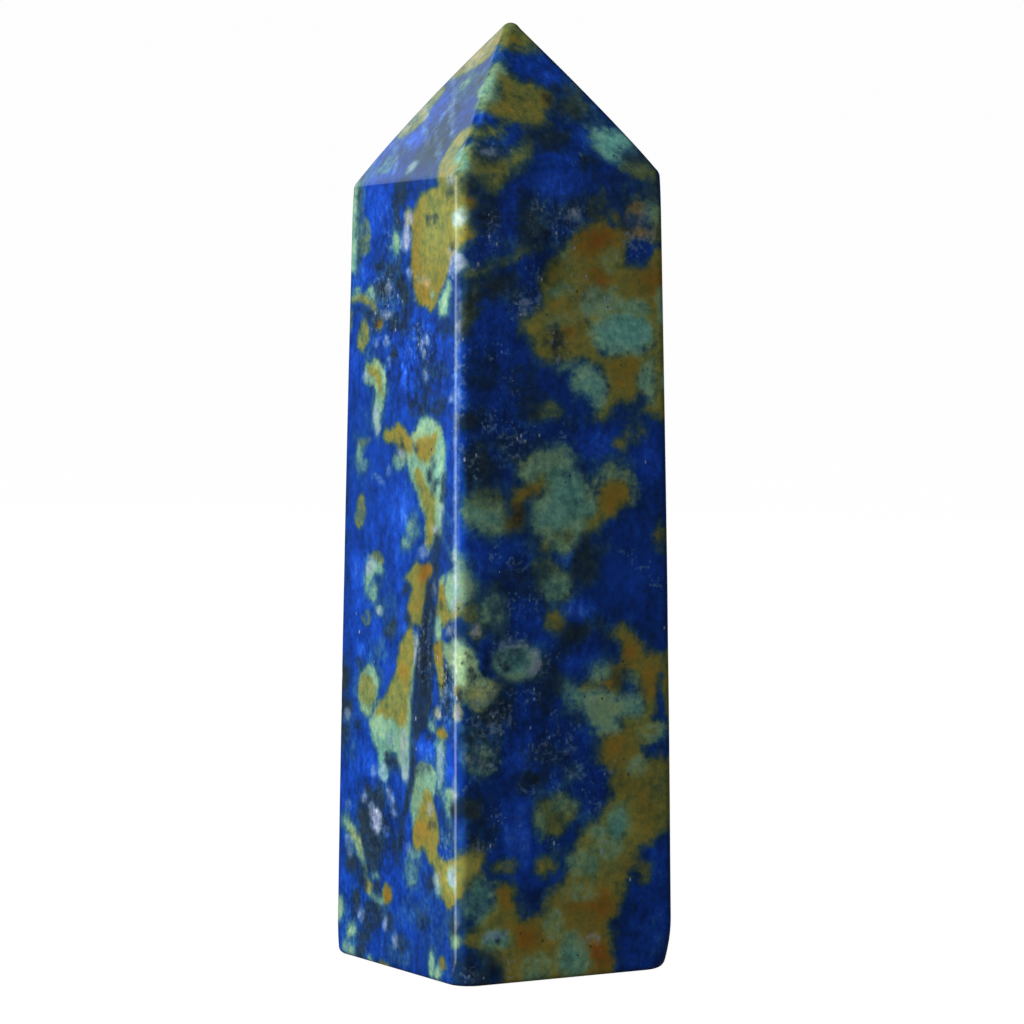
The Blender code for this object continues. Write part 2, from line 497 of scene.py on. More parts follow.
coat("left", "ochre",
    area(-3.4, 75, -1.5, 75.4, -0.3, 76, 0.9, 76.3, 1.2, 77.4, 1, 78.2, 1.9, 78.6, 1.4, 81, -1.5, 81, -2.6,
        77.5),
    area(-6.4, 70.6, -5.6, 73, -4.6, 74.6, -3.2, 74.8, -2.6, 74, -3.3, 73, -3, 71.8, -3.9, 70.9, -5, 70.6,
        share=0.85),
    area(4.3, 69, 4.8, 70.3, 6, 70.8, 7.3, 70.6, 7.4, 70, 6.6, 69.6, 6.8, 68.9, 8, 67.9, 9.2, 67.2, 9.4,
        66.4, 6.2, 66.2, 5.6, 66.8, 4.9, 67.6),
    area(2, 64.6, 3.2, 65.4, 4.5, 65.9, 5.8, 66, 6.3, 67, 10.2, 67.4, 10.4, 65.6, 9.9, 64.4, 9.9, 60.8, 9.2,
        60.3, 8.1, 59.6, 7.7, 58.6, 7.2, 57.6, 6.6, 56.8, 6, 56.1, 5.2, 55.6, 4.3, 56, 3.3, 56.2, 2.3, 56.7,
        1.9, 58, 1.7, 59.5, 1.6, 61, 1.6, 62.5, 1.4, 64),
    area(0.3, 63.4, 0.6, 64.4, 1.3, 64.3, 1.5, 63.2, 0.9, 62.9, share=0.8),
    area(-7.5, 62.3, -7.1, 63.8, -6.2, 64, -5.6, 62.6, -5.8, 61.1, -6.8, 60.6, -7.5, 61.2, share=0.62),
    area(-7.9, 53.5, -7.2, 54.7, -6.3, 55.3, -5.5, 54.4, -5.6, 53.4, -6.3, 52.6, -7.5, 52.5, share=0.9),
    area(0.6, 33.2, 1.8, 33.7, 2.4, 34.4, 2.9, 35.1, 3.6, 34.7, 4.5, 34.5, 5.4, 34.8, 6, 34.2, 5.5, 33.5,
        4.9, 33.1, 4.6, 31.8, 4.3, 30.4, 3.9, 29.3, 3, 29.5, 2.1, 29.2, 2, 30.2, 1.4, 30.9, 1.9, 31.6, 2.4,
        32.4, 1.9, 32.9),
    area(-5.3, 34.6, -4.2, 35.6, -3.2, 35.3, -2.5, 34.2, -3.5, 34.2, -4.4, 34.7, share=0.8),
    area(-8, 38.3, -7.6, 39.2, -7.1, 39.6, -6.6, 40.4, -6.2, 39.6, -5.8, 38.7, -6.1, 37.7, -6.8, 37.2, -7.6,
        37.4, share=0.75),
    area(6.8, 33.4, 6.5, 31.5, 6.3, 30.5, 7, 30.2, 7.6, 29.4, 8.1, 29.6, 8.6, 30, 9.4, 30.1, 10.8, 30.4,
        10.8, 31.3, 9, 31.1, 8.3, 31.7, 8, 33, 7.4, 33.5),
    area(6, 28.1, 6.6, 28.4, 7.6, 28.7, 7.8, 27.9, 7.7, 26.5, 7.9, 25.2, 7.7, 23.8, 7.2, 23.8, 6.9, 25, 6.5,
        26, 6.1, 26.7),
    area(4.3, 17.4, 5.4, 16.4, 6, 15.8, 6.6, 14.6, 7.2, 13.4, 7.7, 12.6, 7.4, 11.9, 7, 11.2, 7.8, 10.5, 9.4,
        10.5, 10.4, 10.8, 11.4, 10.6, 11.4, 7.6, 10.2, 7.2, 9.3, 6.1, 8.6, 6.3, 8, 7, 7.2, 7.8, 6.7, 8.6,
        6.8, 9.2, 6.1, 9.7, 5.4, 10.4, 4.5, 10.9, 3.6, 10.5, 2.7, 10.8, 2.7, 12.2, 3.4, 13.6, 3.9, 14.8,
        3.9, 16.2),
    area(3.4, 17.8, 4.6, 18.1, 6.2, 17.8, 6.9, 17.2, 6.4, 16.4, 4.4, 16.6, 3, 16.4, share=0.6),
    streak(-8.8, 57.1, 0.3, -7, 56.9, 0.35, -5.8, 56.7, 0.4, -4.3, 55.8, 0.2),
    streak(-8.2, 11.3, 0.3, -7, 10.5, 0.4, -6.4, 9.6, 0.3),
    *ovals((-4, 54.8, 0.8, 0.4), (-9.2, 54.9, 0.5, 1.2, 0.6), (-6.4, 44.6, 0.8, 0.35, 0.4, 20),
        (6.9, 22.5, 0.65, 0.5), (7.7, 20.8, 0.85, 0.5), (10.1, 22.7, 0.6, 0.6),
        (-5.6, 29.7, 0.8, 0.5, 0.35), (-4.8, 6.6, 0.8, 0.6), (-1.45, 6.2, 1, 0.85), (8.1, 1.7, 0.6, 0.5),
        (-2, 0.2, 0.95, 0.45)))
coat("left", "mint",
    area(2.9, 76.2, 4.6, 76.2, 6.8, 72.2, 5.3, 72.2, 4.4, 73, 3.5, 74.3, 2.9, 75.4),
    area(6.7, 68.8, 7.4, 69.4, 8.8, 69.2, 10.4, 67, 9, 66.9, 8, 67.3, 7.1, 67.8),
    area(-10, 67.4, -8.4, 67.2, -8.3, 64, -8.1, 61.5, -8.6, 59.3, -10, 59, share=0.85),
    area(-2, 61.5, -1.6, 62.5, -1, 62.6, -0.4, 62.1, -0.4, 61, -0.8, 60.4, -1.6, 60.6),
    area(5.9, 55.3, 7.3, 55.2, 8, 56.1, 8.5, 57.4, 8.1, 58.4, 7.5, 57.9, 7, 56.9, 6.3, 56.1),
    area(-6.4, 50, -6.2, 51.4, -5, 51.3, -4.2, 51.6, -3.3, 51.3, -2.6, 50.4, -2.5, 49.3, -2.8, 48.2, -3.3,
        47.4, -3.4, 46.2, -3.6, 45.5, -4.3, 45.6, -4.7, 46.6, -4.9, 47.4, -4.5, 48.4, -4.5, 49.5, -4.9,
        49.9, -5.8, 49.8),
    area(3, 46.2, 3.8, 47, 4.6, 47.2, 5.6, 46.7, 6.7, 46.4, 7.3, 45.4, 7.8, 44.8, 7.7, 43.5, 7.6, 42, 7.5,
        40, 7.5, 38.2, 6.9, 37, 6.3, 37.5, 5.7, 36.2, 4.9, 35.8, 4.5, 37, 4.6, 38.7, 4.1, 39.3, 3.3, 40,
        2.8, 41.1, 2, 41.6, 1.5, 42.5, 1, 43.4, 0.9, 44.3, 2, 44.9),
    area(-6.1, 32, -6, 33.4, -5.3, 34.6, -4.5, 34.8, -3.5, 34.4, -2.5, 33.9, -2.6, 33.4, -3.8, 33.4, -4.7,
        33.2, -5.2, 32.4, -5.6, 31.6),
    area(-6.9, 23.8, -6.2, 24.6, -5.5, 25, -4.8, 25.8, -3.7, 25.3, -3.3, 24.2, -3.6, 23.1, -4.2, 22.1, -5,
        21.3, -5.9, 21.4, -6.6, 22.3),
    area(2.9, 29, 3.4, 28.4, 3.5, 27, 3.2, 26.2, 2.7, 25.2, 2.4, 24.3, 2.3, 23, 2.4, 21.5, 2.45, 20, 2.5,
        18.5, 2.4, 17.3, 1.9, 16.4, 1.4, 16.2, 0.8, 16.9, 0.2, 17.8, -0.3, 18.3, -1.2, 18, -1.5, 17.2, -1.6,
        16.2, -2.6, 16, -3.1, 17.2, -3.3, 18.2, -4.1, 19.1, -4.8, 20.4, -4.2, 21.6, -2.6, 22.4, 0.2, 22.8,
        1.6, 23, 2, 25.4, 2.6, 27),
    area(7.9, 34, 7.9, 32.4, 8.5, 31.3, 9.3, 31.2, 11.2, 31.1, 11.2, 33.6, 10, 33.6, 9.2, 34),
    area(6.9, 33, 7.4, 33.8, 8.2, 34.1, 8.2, 33, share=0.9),
    area(6.3, 30.3, 7, 30.5, 7.7, 29.3, 7.3, 28.5, 6.2, 28.3),
    area(7.7, 28.5, 8.6, 28.2, 9.5, 28.6, 11.2, 28.8, 11.4, 24.8, 10, 24.9, 9.3, 25.6, 8.8, 26.3, 8.2, 27,
        7.8, 27.6),
    area(2.9, 16.6, 3.4, 17.9, 5.2, 18.3, 6.6, 17.9, 7.2, 17, 6.8, 16.2, 6.4, 15, 5.6, 16.2, 4.6, 16, 4.3,
        14.6, 3.5, 13.4, 2.9, 12.2, 2.5, 13.4, 2.3, 15),
    area(8.3, 16.2, 9.2, 16.4, 10, 16, 9.6, 15.3, 9.1, 14.8, 9.1, 13.9, 8.4, 13.9, 8.2, 15.2),
    streak(-9.2, 11.9, 0.3, -8.1, 11.3, 0.45, -7, 10.3, 0.6, -5.9, 8.8, 0.45, -5.3, 7.5, 0.35, -4.5, 6, 0.3,
        -3.4, 5.5, 0.3, -2.5, 5.5, 0.3, share=0.8),
    *ovals((0, 74.7, 0.65, 0.35), (0.1, 67.8, 0.55, 0.35), (-4.9, 68.2, 0.9, 0.5, 0.45),
        (5.2, 57, 0.28, 0.5), (9.3, 63.2, 1.1, 0.75), (-5.4, 57.3, 0.7, 0.6, 0.85),
        (-8.3, 57.5, 0.8, 0.4, 0.6), (-0.2, 43.1, 0.95, 0.5, 0.6), (-3.2, 30.4, 0.65, 0.5),
        (-4.5, 32, 0.7, 0.7, 0.55), (1.2, 36.2, 0.7, 0.3, 0.55), (2.3, 37.6, 0.7, 0.5, 0.3),
        (-7, 43.5, 0.5, 0.6, 0.45), (-6.6, 42.5, 1, 0.35, 0.45), (-3.2, 20.6, 1.5, 1.4, 0.95),
        (7.4, 19.6, 0.7, 0.8), (7.35, 17.5, 0.5, 1.5), (6, 21.2, 0.55, 0.35, 0.8),
        (7.1, 8, 0.5, 0.9, 1, 20), (10.2, 3.8, 0.6, 0.7, 0.8), (9.8, 9, 1, 0.9), (3.2, 10.2, 0.9, 0.3, 0.6),
        (6.2, 1.2, 0.55, 1.1), (7.3, 0.6, 0.5, 0.6), (-7.8, 2.2, 0.8, 0.6), (-10.2, 4, 0.8, 1.2),
        (-8.2, 0.7, 1.1, 0.6, 0.6), (2.7, 8.5, 0.9, 0.7, 0.3), (-4.3, 0.2, 0.6, 0.3, 0.7),
        (-3.6, 7.6, 0.6, 0.25, 0.5)))
coat("left", "ochre",
    area(-3, 45.2, -2.6, 45.9, -1.6, 45.9, -0.8, 46.2, 0.6, 46.2, 1.3, 45.5, 2.4, 45.2, 2.4, 43.9, 1.2,
        43.8, -0.6, 44.2, -1.3, 44.9, -2.1, 44.6),
    area(2.7, 44.9, 4.5, 45.2, 5.5, 45.3, 6.4, 45.7, 6.6, 44.8, 6, 44.1, 5, 43.3, 4, 43.1, 2.9, 43.7),
    area(2.9, 42.6, 3.7, 42.5, 4.4, 41.3, 5.3, 40.8, 6.2, 40, 6.2, 38.4, 6.3, 37.5, 5.7, 36.4, 5.1, 35.6,
        4.4, 36.8, 4.6, 38.6, 4.1, 39.6, 3.5, 40.6, 2.6, 41.7),
    area(2, 29.6, 2.8, 29.3, 3.1, 28.6, 3, 27, 2.6, 25.6, 2.2, 24.4, 2, 23, 2, 21.6, 1.4, 20.6, 0.3, 20.8,
        -0.8, 21.6, -1.8, 21.2, -2.6, 21.6, -3.4, 21.4, -3.9, 21.6, -3.6, 22.2, -2.4, 23.1, -1.5, 24, -0.8,
        24.7, -0.4, 25.7, 0.1, 26.8, 0.4, 27.7, 1.2, 28.6),
    streak(-5.4, 50.8, 0.45, -4.2, 50.5, 0.5, -3.6, 49.7, 0.4, -3.5, 48.9, 0.3),
    *ovals((-5.25, 23.4, 1.5, 1.3, 0.75, -10)))
coat("left", "blue",
    *ovals((7.5, 69.6, 0.5, 0.4), (3.5, 37.8, 0.9, 0.9, 0.8), (9, 29.3, 0.8, 0.5, 0.9)))
coat("left", "black",
    area(6.7, 37.4, 6.8, 36, 6.7, 34.5, 6.5, 33, 6.4, 31.5, 6.2, 30, 6.1, 28, 5.9, 26.5, 6, 25, 5.9, 23.5,
        5.4, 22.3, 4.8, 21.4, 4, 20.6, 3.5, 19.8, 3.2, 18.5, 2.8, 16.4, 2.4, 16.4, 2.6, 18.5, 2.7, 20.5,
        2.8, 22.5, 3.1, 25, 3.4, 26.6, 3.6, 28, 4.1, 29.5, 4.5, 30.2, 4.8, 31.6, 5.1, 33, 5.6, 33.5, 6.1,
        34.2, 5.6, 34.9, 5.3, 35.2, 5.9, 36.1, 6.4, 36.9, share=0.8),
    area(-1.4, 66.9, -1.2, 65.2, -0.8, 64.8, 0, 64.6, 0.5, 65.4, 0.9, 66.9, share=0.9),
    area(-6.2, 13.6, -5.2, 14.6, -3.6, 15.6, -2.4, 15.2, -2.2, 14.4, -2.4, 12.6, -2.4, 9.8, -3, 8.3, -4.5,
        8.2, -5.2, 9, -5.6, 10.4, -6.2, 11.8, share=0.72),
    area(-5.5, 5.4, -3.4, 5.4, -2.5, 4.6, -2.5, 3.3, -4, 3.1, -4.8, 2, -5.6, 0.3, -7.2, -0.5, -6.3, 1.8,
        -5.2, 3.4, share=0.85), streak(3, 18.6, 0.35, 2.2, 15.5, 0.3, 1, 12, 0.15, share=0.85),
    streak(-5.2, 4, 0.5, -6, 1.6, 0.6, -6.6, -0.6, 0.5, share=0.75),
    streak(4.6, 28.4, 0.5, 4.2, 26, 0.7, 3.9, 23.6, 0.7, 3.7, 21.6, 0.4, share=0.95),
    streak(5, 31.4, 0.25, 4.9, 29, 0.3, share=0.8),
    streak(-1.1, 65, 0.4, -0.9, 63.6, 0.3, -0.3, 62.7, 0.25, share=0.7),
    streak(-0.4, 58, 0.5, 0.3, 57.4, 0.6, 0.9, 56.4, 0.5, share=0.95),
    streak(-8, 56.2, 0.08, -6, 55.8, 0.14, -4.4, 55.4, 0.18, -2.2, 55.2, 0.1, share=0.9),
    streak(7.3, 42.2, 0.12, 7.3, 40.2, 0.2, share=0.9), streak(2.2, 29.6, 0.2, 1.6, 30.2, 0.3, share=0.8),
    streak(3.4, 17.2, 0.12, 4.2, 17.6, 0.2, 5.4, 17.7, 0.2, share=0.6),
    streak(0.4, 9.6, 0.25, 1, 11.6, 0.35, 1.4, 13.4, 0.2, share=0.5),
    *ovals((-3.8, 4.2, 1.5, 0.9, 0.75), (-9.2, 24.4, 0.9, 1.6, 0.6), (-3.9, 59.6, 0.9, 0.6, 0.85),
        (-3.5, 57.6, 1.1, 0.6, 0.85), (0.7, 55.6, 0.8, 0.4, 0.7), (-1.2, 54.8, 0.8, 0.7, 0.85),
        (0.6, 54.5, 0.7, 0.5, 0.6), (-1.2, 52.3, 0.7, 0.4, 0.85), (-2.2, 59, 1.2, 0.5, 0.55),
        (-4.8, 54.8, 0.5, 0.35, 0.9), (4.3, 51.3, 0.7, 0.8, 0.35), (3.6, 49.2, 1.2, 0.7, 0.35),
        (6.4, 50.6, 1, 0.5, 0.3), (9.8, 54.4, 1.2, 1.1, 0.5), (7.5, 54.4, 1.2, 0.5, 0.4),
        (3, 47.6, 1.6, 0.5, 0.4), (6.2, 47.8, 1.4, 0.6, 0.45), (0.4, 44.4, 0.32, 0.25),
        (5.15, 42.1, 0.32, 0.38), (5.8, 43.2, 0.32, 0.2), (6.3, 41.3, 0.32, 0.22), (5.8, 40.8, 0.25, 0.2),
        (2.9, 44.2, 0.22, 0.3, 0.7), (1.5, 32.3, 0.5, 0.45, 0.9), (7.3, 31.4, 0.3, 0.25),
        (9.4, 29.2, 0.9, 0.3, 0.6), (-9.4, 24.2, 1, 1.3), (-9.2, 21.8, 1.2, 0.8, 0.9),
        (-9.6, 19.4, 1, 0.9, 0.6), (-6.9, 20.4, 0.5, 0.4, 0.6), (-6.5, 25.8, 0.45, 0.3, 0.7),
        (-1.4, 29, 1, 0.4, 0.5, 20), (10.6, 24.2, 0.5, 0.4, 0.8), (-1.5, 17.7, 0.5, 0.5, 0.85),
        (-0.2, 17.6, 0.5, 0.4, 0.85), (5.7, 20.3, 0.4, 0.3, 0.9), (-5.2, 12.6, 0.7, 1.1, 0.95),
        (-3.1, 10.4, 1, 0.8, 0.9), (-4.4, 14.6, 0.9, 0.5, 0.8), (-7.8, 8.2, 1.1, 0.6, 0.8),
        (-7, 5, 0.7, 1.3, 0.85), (-5.9, 7.3, 0.9, 1, 0.7), (5.8, 8, 0.5, 0.7, 0.6),
        (5, 4.8, 0.7, 0.45, 0.45), (10, 5.2, 0.7, 0.7, 0.6), (-1, 3.9, 0.6, 0.7, 0.7),
        (1.2, 2.5, 0.9, 0.5, 0.5), (-3.4, 6.6, 0.45, 0.45, 0.8), (6.2, 13, 0.4, 0.2, 0.6),
        (10, 14.8, 0.9, 0.55, 0.95), (4.9, 63.1, 0.6, 0.25, 0.3), (8, 65.4, 0.4, 0.35, 0.7),
        (8.5, 60.8, 0.3, 0.25, 0.8), (-7.8, 63, 0.25, 3, 0.45)))
coat("left", "pale",
    area(7.6, 58.8, 8, 60.2, 9, 60.7, 10.2, 60.2, 10, 59, 8.8, 58.6, share=0.85),
    area(-0.2, 61.6, 0.2, 62.6, 0.9, 63.2, 1.5, 62.6, 1.5, 61.4, 0.9, 60.9, 0.1, 60.9),
    streak(-1.5, 15.2, 0.25, -0.9, 14.4, 0.4, -0.5, 13.5, 0.3, share=0.6),
    # The pale streak at 9.4 to 9.6 across along the near edge is a painted highlight where the edge glows
    streak(9.6, 24, 0.1, 9.5, 40, 0.25, 9.4, 50, 0.2, 9.6, 57, 0.1, share=0.3),
    streak(2.7, 58.4, 0.08, 4.6, 58, 0.12, share=0.25),
    streak(-4.9, 41.7, 0.05, -2.8, 41.4, 0.08, share=0.6),
    streak(3, 28.9, 0.3, 3.2, 27.6, 0.25, 3, 26.4, 0.15, share=0.6),
    streak(-2.6, 75.2, 0.05, 2.4, 71.6, 0.08, share=0.45),
    streak(-4.6, 73.2, 0.05, 0.4, 69.6, 0.08, share=0.4),
    streak(-0.6, 73.4, 0.04, 4.2, 70, 0.06, share=0.4),
    streak(-6.4, 70.6, 0.06, -2.6, 67.8, 0.08, share=0.4),
    streak(0.6, 70.8, 0.04, 4.4, 68, 0.06, share=0.35),
    streak(-0.2, 72.8, 0.12, 0.1, 71.2, 0.12, share=0.4),
    streak(3.7, 25.4, 0.06, 4, 27.6, 0.08, share=0.3, soft=0.5),
    streak(5.2, 27.4, 0.1, 5.6, 30.4, 0.12, share=0.2),
    *ovals((-3.5, 12.4, 1, 1.05, 0.9), (-4.3, 13.4, 0.5, 0.45, 0.55), (-5.6, 14.1, 0.4, 0.4, 0.55),
        (-3.9, 16.6, 0.4, 0.3, 0.5), (-8.5, 13.1, 0.5, 0.25, 0.35), (-8.3, 9.7, 0.7, 0.8, 0.35),
        # The narrow pale oval at 9.3 across, 54.2 up is a painted highlight on the near edge
        (7, 8.2, 0.3, 0.8, 0.5), (9.3, 54.2, 0.25, 1, 0.5), (9.8, 16.4, 0.3, 0.9, 0.5),
        (-1.7, 11.6, 0.5, 0.3, 0.35), (-6.1, 3.8, 0.4, 0.5, 0.5), (-1.9, 3.7, 0.35, 0.55, 0.55),
        (1, 63.6, 0.7, 0.4, 0.5), (1.3, 58.8, 0.35, 0.45, 0.6), (-2.2, 57.7, 0.5, 0.35, 0.4),
        (7.9, 60.5, 0.2, 0.25, 0.9), (9.2, 63.2, 0.9, 0.5, 0.5), (8, 66.3, 0.45, 0.2, 0.5),
        (-2.6, 55.5, 0.8, 0.16, 0.7), (-4.4, 53.3, 0.28, 0.28, 0.6), (-2.6, 53.2, 0.4, 0.35, 0.7),
        (-2.1, 51.4, 0.35, 0.4, 0.5), (4.4, 53.3, 0.35, 0.4, 0.8), (3.6, 52.9, 0.3, 0.5, 0.65),
        (4, 52.2, 0.25, 0.3, 0.6), (4.2, 50.2, 0.3, 0.25, 0.4), (8.5, 48.3, 0.35, 0.25, 0.9),
        (-2, 42.2, 0.3, 0.3, 0.35), (4.1, 35.6, 0.8, 0.4, 0.6), (-3.3, 30.3, 0.45, 0.35, 0.7),
        (-5, 34.2, 0.8, 0.5, 0.4, 35), (9, 29.2, 0.7, 0.25, 0.5), (-1.2, 19.5, 0.5, 0.4, 0.6),
        (1.4, 17, 0.5, 0.6, 0.6), (1.3, 19, 0.6, 1.4, 0.35), (-2.3, 16.8, 0.6, 0.6, 0.5),
        (7.4, 18.2, 0.35, 1.6, 0.45), (7.1, 22.5, 0.35, 0.5, 0.7), (10.1, 22.6, 0.4, 0.5, 0.7),
        (8.2, 24, 0.5, 0.5, 0.25), (-8.7, 21, 0.4, 0.3, 0.4), (0, 2.5, 0.3, 0.5, 0.5),
        (5.8, 14.3, 0.4, 0.4, 0.5), (9.8, 9, 0.5, 0.6, 0.8), (2.2, 10.6, 0.3, 0.35, 0.5),
        (10.3, 5.8, 0.3, 0.5, 0.5), (-4.2, 47, 0.4, 0.7, 0.55), (-4.1, 45.8, 0.35, 0.35, 0.6),
        (-6.1, 50.4, 0.45, 0.3, 0.55), (0, 43.7, 0.5, 0.25, 0.45), (6.1, 37.5, 0.5, 0.15, 0.7),
        (7.2, 38.6, 0.2, 0.8, 0.4), (-6, 72.4, 1, 2.2, 0.3), (-1, 77.6, 0.8, 1.6, 0.25),
        (0.1, 67.8, 0.5, 0.4, 0.5), (6, 32.6, 0.2, 0.8, 0.3)))
coat("left", "speckle",
    *ovals((8.6, 24, 1.6, 3, 0.35), (3.4, 53.2, 2, 1.6, 0.5), (-3, 56, 2.6, 3, 0.25),
        (9.6, 50, 0.8, 5, 0.4), (8.6, 11.4, 1.2, 1.6, 0.4), (4.6, 28, 0.8, 3, 0.1),
        (-2.6, 63, 1.6, 2, 0.3)))
coat("front", "ochre",
    area(-0.6, 82, -3, 77.9, -1.2, 77.6, 0.8, 77.6, 2.6, 77.8, 0.6, 82),
    area(-3.4, 75.5, -2.3, 75.2, -1, 74.8, 0.5, 74.3, 1.3, 74.1, 1.3, 73.1, 0.7, 72.4, 0.1, 71.8, -0.4,
        70.8, -1.3, 70.7, -2.4, 71, -3.3, 71, -4.4, 71.2, -5.1, 71.7, -6.4, 72.6, -5.4, 73.4, -4, 73.2,
        -3.8, 74.3),
    area(-10.2, 66.9, -9.3, 68.9, -7.9, 69.2, -7.4, 68.4, -6.5, 67.9, -5, 68, -4.2, 68.7, -3.2, 69.7, -2.1,
        69.9, -2.3, 68.9, -3.2, 67.7, -4.3, 66.9, -5.3, 66.3, -6.2, 65.2, -7.2, 65.1, -8.3, 65.9, -9, 66.6,
        share=0.9), area(-10.6, 60.4, -9.3, 60.8, -8.6, 61.6, -8.4, 62.4, -9.2, 62.9, -10.6, 62.8),
    area(-2.4, 58.2, -1.6, 59.5, -0.3, 60.3, 0.7, 61, 1.1, 61.9, 2.2, 62.4, 3, 63.1, 3.7, 63.3, 4.3, 62.3,
        5.2, 62.7, 6.3, 62.3, 6.4, 61.2, 6, 60.2, 6, 59.3, 7, 59.1, 8.2, 59.2, 10, 59.8, 10.2, 55.9, 8.5,
        56.1, 7.2, 56, 6.1, 56.2, 5.1, 56.9, 4, 57.2, 2.6, 56.8, 2, 56, 2, 55, 3, 53.9, 3.1, 52.6, 3.6,
        51.9, 4.6, 51.7, 6, 51.9, 7.4, 51.5, 8, 52.2, 8.8, 53, 10.2, 53, 10.2, 51, 8.3, 50.6, 7.4, 50.2,
        7.3, 49.2, 7.7, 48.2, 6.9, 47.9, 6.2, 47.7, 5.3, 47.6, 4.6, 47.2, 4.2, 46.4, 3.4, 46.1, 2.8, 46.6,
        3.4, 47.4, 3.9, 48.6, 3.8, 49.3, 3.2, 50.1, 2.8, 51, 1.9, 51.2, 0.8, 51.3, 0.1, 51, -0.9, 51.3,
        -1.9, 50.9, -2.8, 51.5, -3.2, 52.6, -3.9, 53.5, -4.8, 53.9, -4, 54.9, -2.7, 55.2, -2, 56.1),
    area(7.9, 46.7, 8.1, 47.6, 8.6, 48.3, 9.8, 48.4, 10.2, 46.3, 9, 46.2),
    area(-3.6, 34.5, -2.6, 35, -1.8, 34.7, -0.9, 34, -0.2, 33.4, 0.5, 32.7, 0.2, 31.7, -1.3, 31.8, -2.2,
        32.6, -2.6, 33.4, share=0.5),
    area(4.3, 28.6, 5, 29.3, 6.1, 29.1, 6.9, 28.3, 7.6, 27.4, 8.3, 26.5, 10, 26.5, 10, 25.4, 9.1, 24.6, 8.9,
        23.4, 8.9, 21.9, 8.3, 21.3, 9.2, 20.6, 9, 19.7, 7.7, 19.2, 7.2, 18.3, 7.8, 17.9, 8.4, 18.1, 10.2,
        17.9, 10.6, 11.8, 8.8, 11, 7.8, 10.6, 7, 10.3, 6.8, 9.5, 7.6, 9.1, 8.1, 8.2, 7.8, 7.5, 6.8, 7.8,
        5.9, 7.8, 5.8, 7, 5.4, 6.2, 5.1, 5.4, 4.4, 4.7, 4.2, 3.8, 4.6, 2.6, 4.5, 1, 4.4, -1.5, -6.4, -1.5,
        -6.8, 1.2, -6.9, 2.4, -7.8, 2.8, -9, 3, -10.4, 3.8, -9.9, 4.6, -9, 5.1, -8.3, 5.8, -7.7, 6.1, -7.2,
        7.2, -7.2, 8.3, -6.2, 8.5, -5.1, 8.2, -5, 7, -4.8, 5.7, -3.8, 5.3, -2.6, 5.7, -2.2, 6.8, -1.8, 7.7,
        -0.7, 7.9, -0.3, 8.8, 0.3, 9.6, 0.4, 10.6, 1, 11.4, 1.7, 12.2, 2.4, 12.9, 3.2, 13.3, 3.8, 14.4, 4.4,
        15.2, 4.4, 16.3, 3.9, 17.3, 3.1, 17.9, 3.1, 18.6, 3.5, 19.4, 3.2, 20.2, 4.2, 20.4, 5, 20.2, 5.2,
        20.9, 5, 21.6, 6.2, 21.8, 7.2, 21.8, 7.4, 22.6, 6.9, 23.6, 6.9, 24.6, 6.2, 25.2, 5.5, 24.8, 5.4,
        23.6, 4.6, 22.9, 4, 23.5, 3.3, 23.8, 2.2, 23.8, 1.4, 23.7, 1.4, 24.5, 2.4, 24.7, 3.2, 24.5, 3.8, 25,
        4.3, 25.8, 5.1, 26.1, 5.5, 26.9, 5.3, 27.8, 4.6, 28.1),
    area(-11.4, 24.8, -10, 25.2, -9, 25.6, -8.2, 25.5, -7.3, 25.2, -6.6, 24.6, -7, 23.8, -7.8, 23.2, -8.5,
        22.7, -9.3, 23.1, -10.1, 23.9, -11.4, 23.8, soft=0.5),
    area(-11.4, 10.8, -10.3, 11.3, -9.4, 11.6, -8.4, 11.6, -7.8, 10.9, -8, 9.4, -8.8, 9, -9.6, 8.5, -10,
        7.4, -11.4, 7.2),
    area(-3.1, 13.6, -2.4, 14.7, -1.3, 15.1, 0, 15.1, 0.9, 14.5, 0.6, 13.4, -0.4, 12.3, -1.5, 12, -2.7,
        12.4, share=0.85),
    area(1.2, 57.4, 3.6, 58.2, 6.4, 57.6, 10.2, 57.4, 10.2, 51.6, 7.6, 52, 4.6, 52.2, 3, 52.6, 2, 54.4),
    streak(-9.6, 58.2, 0.1, -8.4, 58.7, 0.2, -7.2, 59.3, 0.32, -6.1, 59.6, 0.32, -5, 59.8, 0.22, -4, 60.2,
        0.2, -2.5, 60.9, 0.15, share=0.85),
    streak(-8.5, 57.2, 0.3, -9.2, 55.5, 0.6, -9.9, 54.2, 0.4, share=0.8),
    *ovals((-6.3, 70.3, 1.7, 0.45, 0.85, 4), (7.6, 67.1, 1.9, 0.75, 0.75, -6),
        (3.4, 73.4, 1, 1.3, 0.35, -20), (-9.2, 64.3, 1, 0.65), (-10, 66.5, 0.6, 1),
        (3.3, 64.1, 0.8, 0.5, 0.4, 30), (7, 63.8, 1, 0.6, 1, -8), (7.3, 61.7, 1.3, 0.5, 0.9, -5),
        (5.1, 62.9, 0.6, 0.5), (9.2, 62.4, 0.9, 1.5, 0.75), (-1.6, 47.2, 1.3, 0.75, 0.8),
        (5.4, 44.2, 0.65, 0.45), (6.9, 45.1, 1, 0.55, 0.5), (9.3, 36.3, 0.8, 1, 0.7),
        (-8.6, 29.2, 0.5, 0.55), (-9.3, 30.8, 1.1, 0.6, 0.6), (-10.5, 31, 0.5, 0.8),
        (-1.2, 29.8, 0.95, 0.85, 0.75), (-2.2, 9.6, 0.95, 0.8), (-6.1, 9.7, 1, 0.5, 0.7),
        (-9, 14.8, 0.8, 0.3, 0.4)))
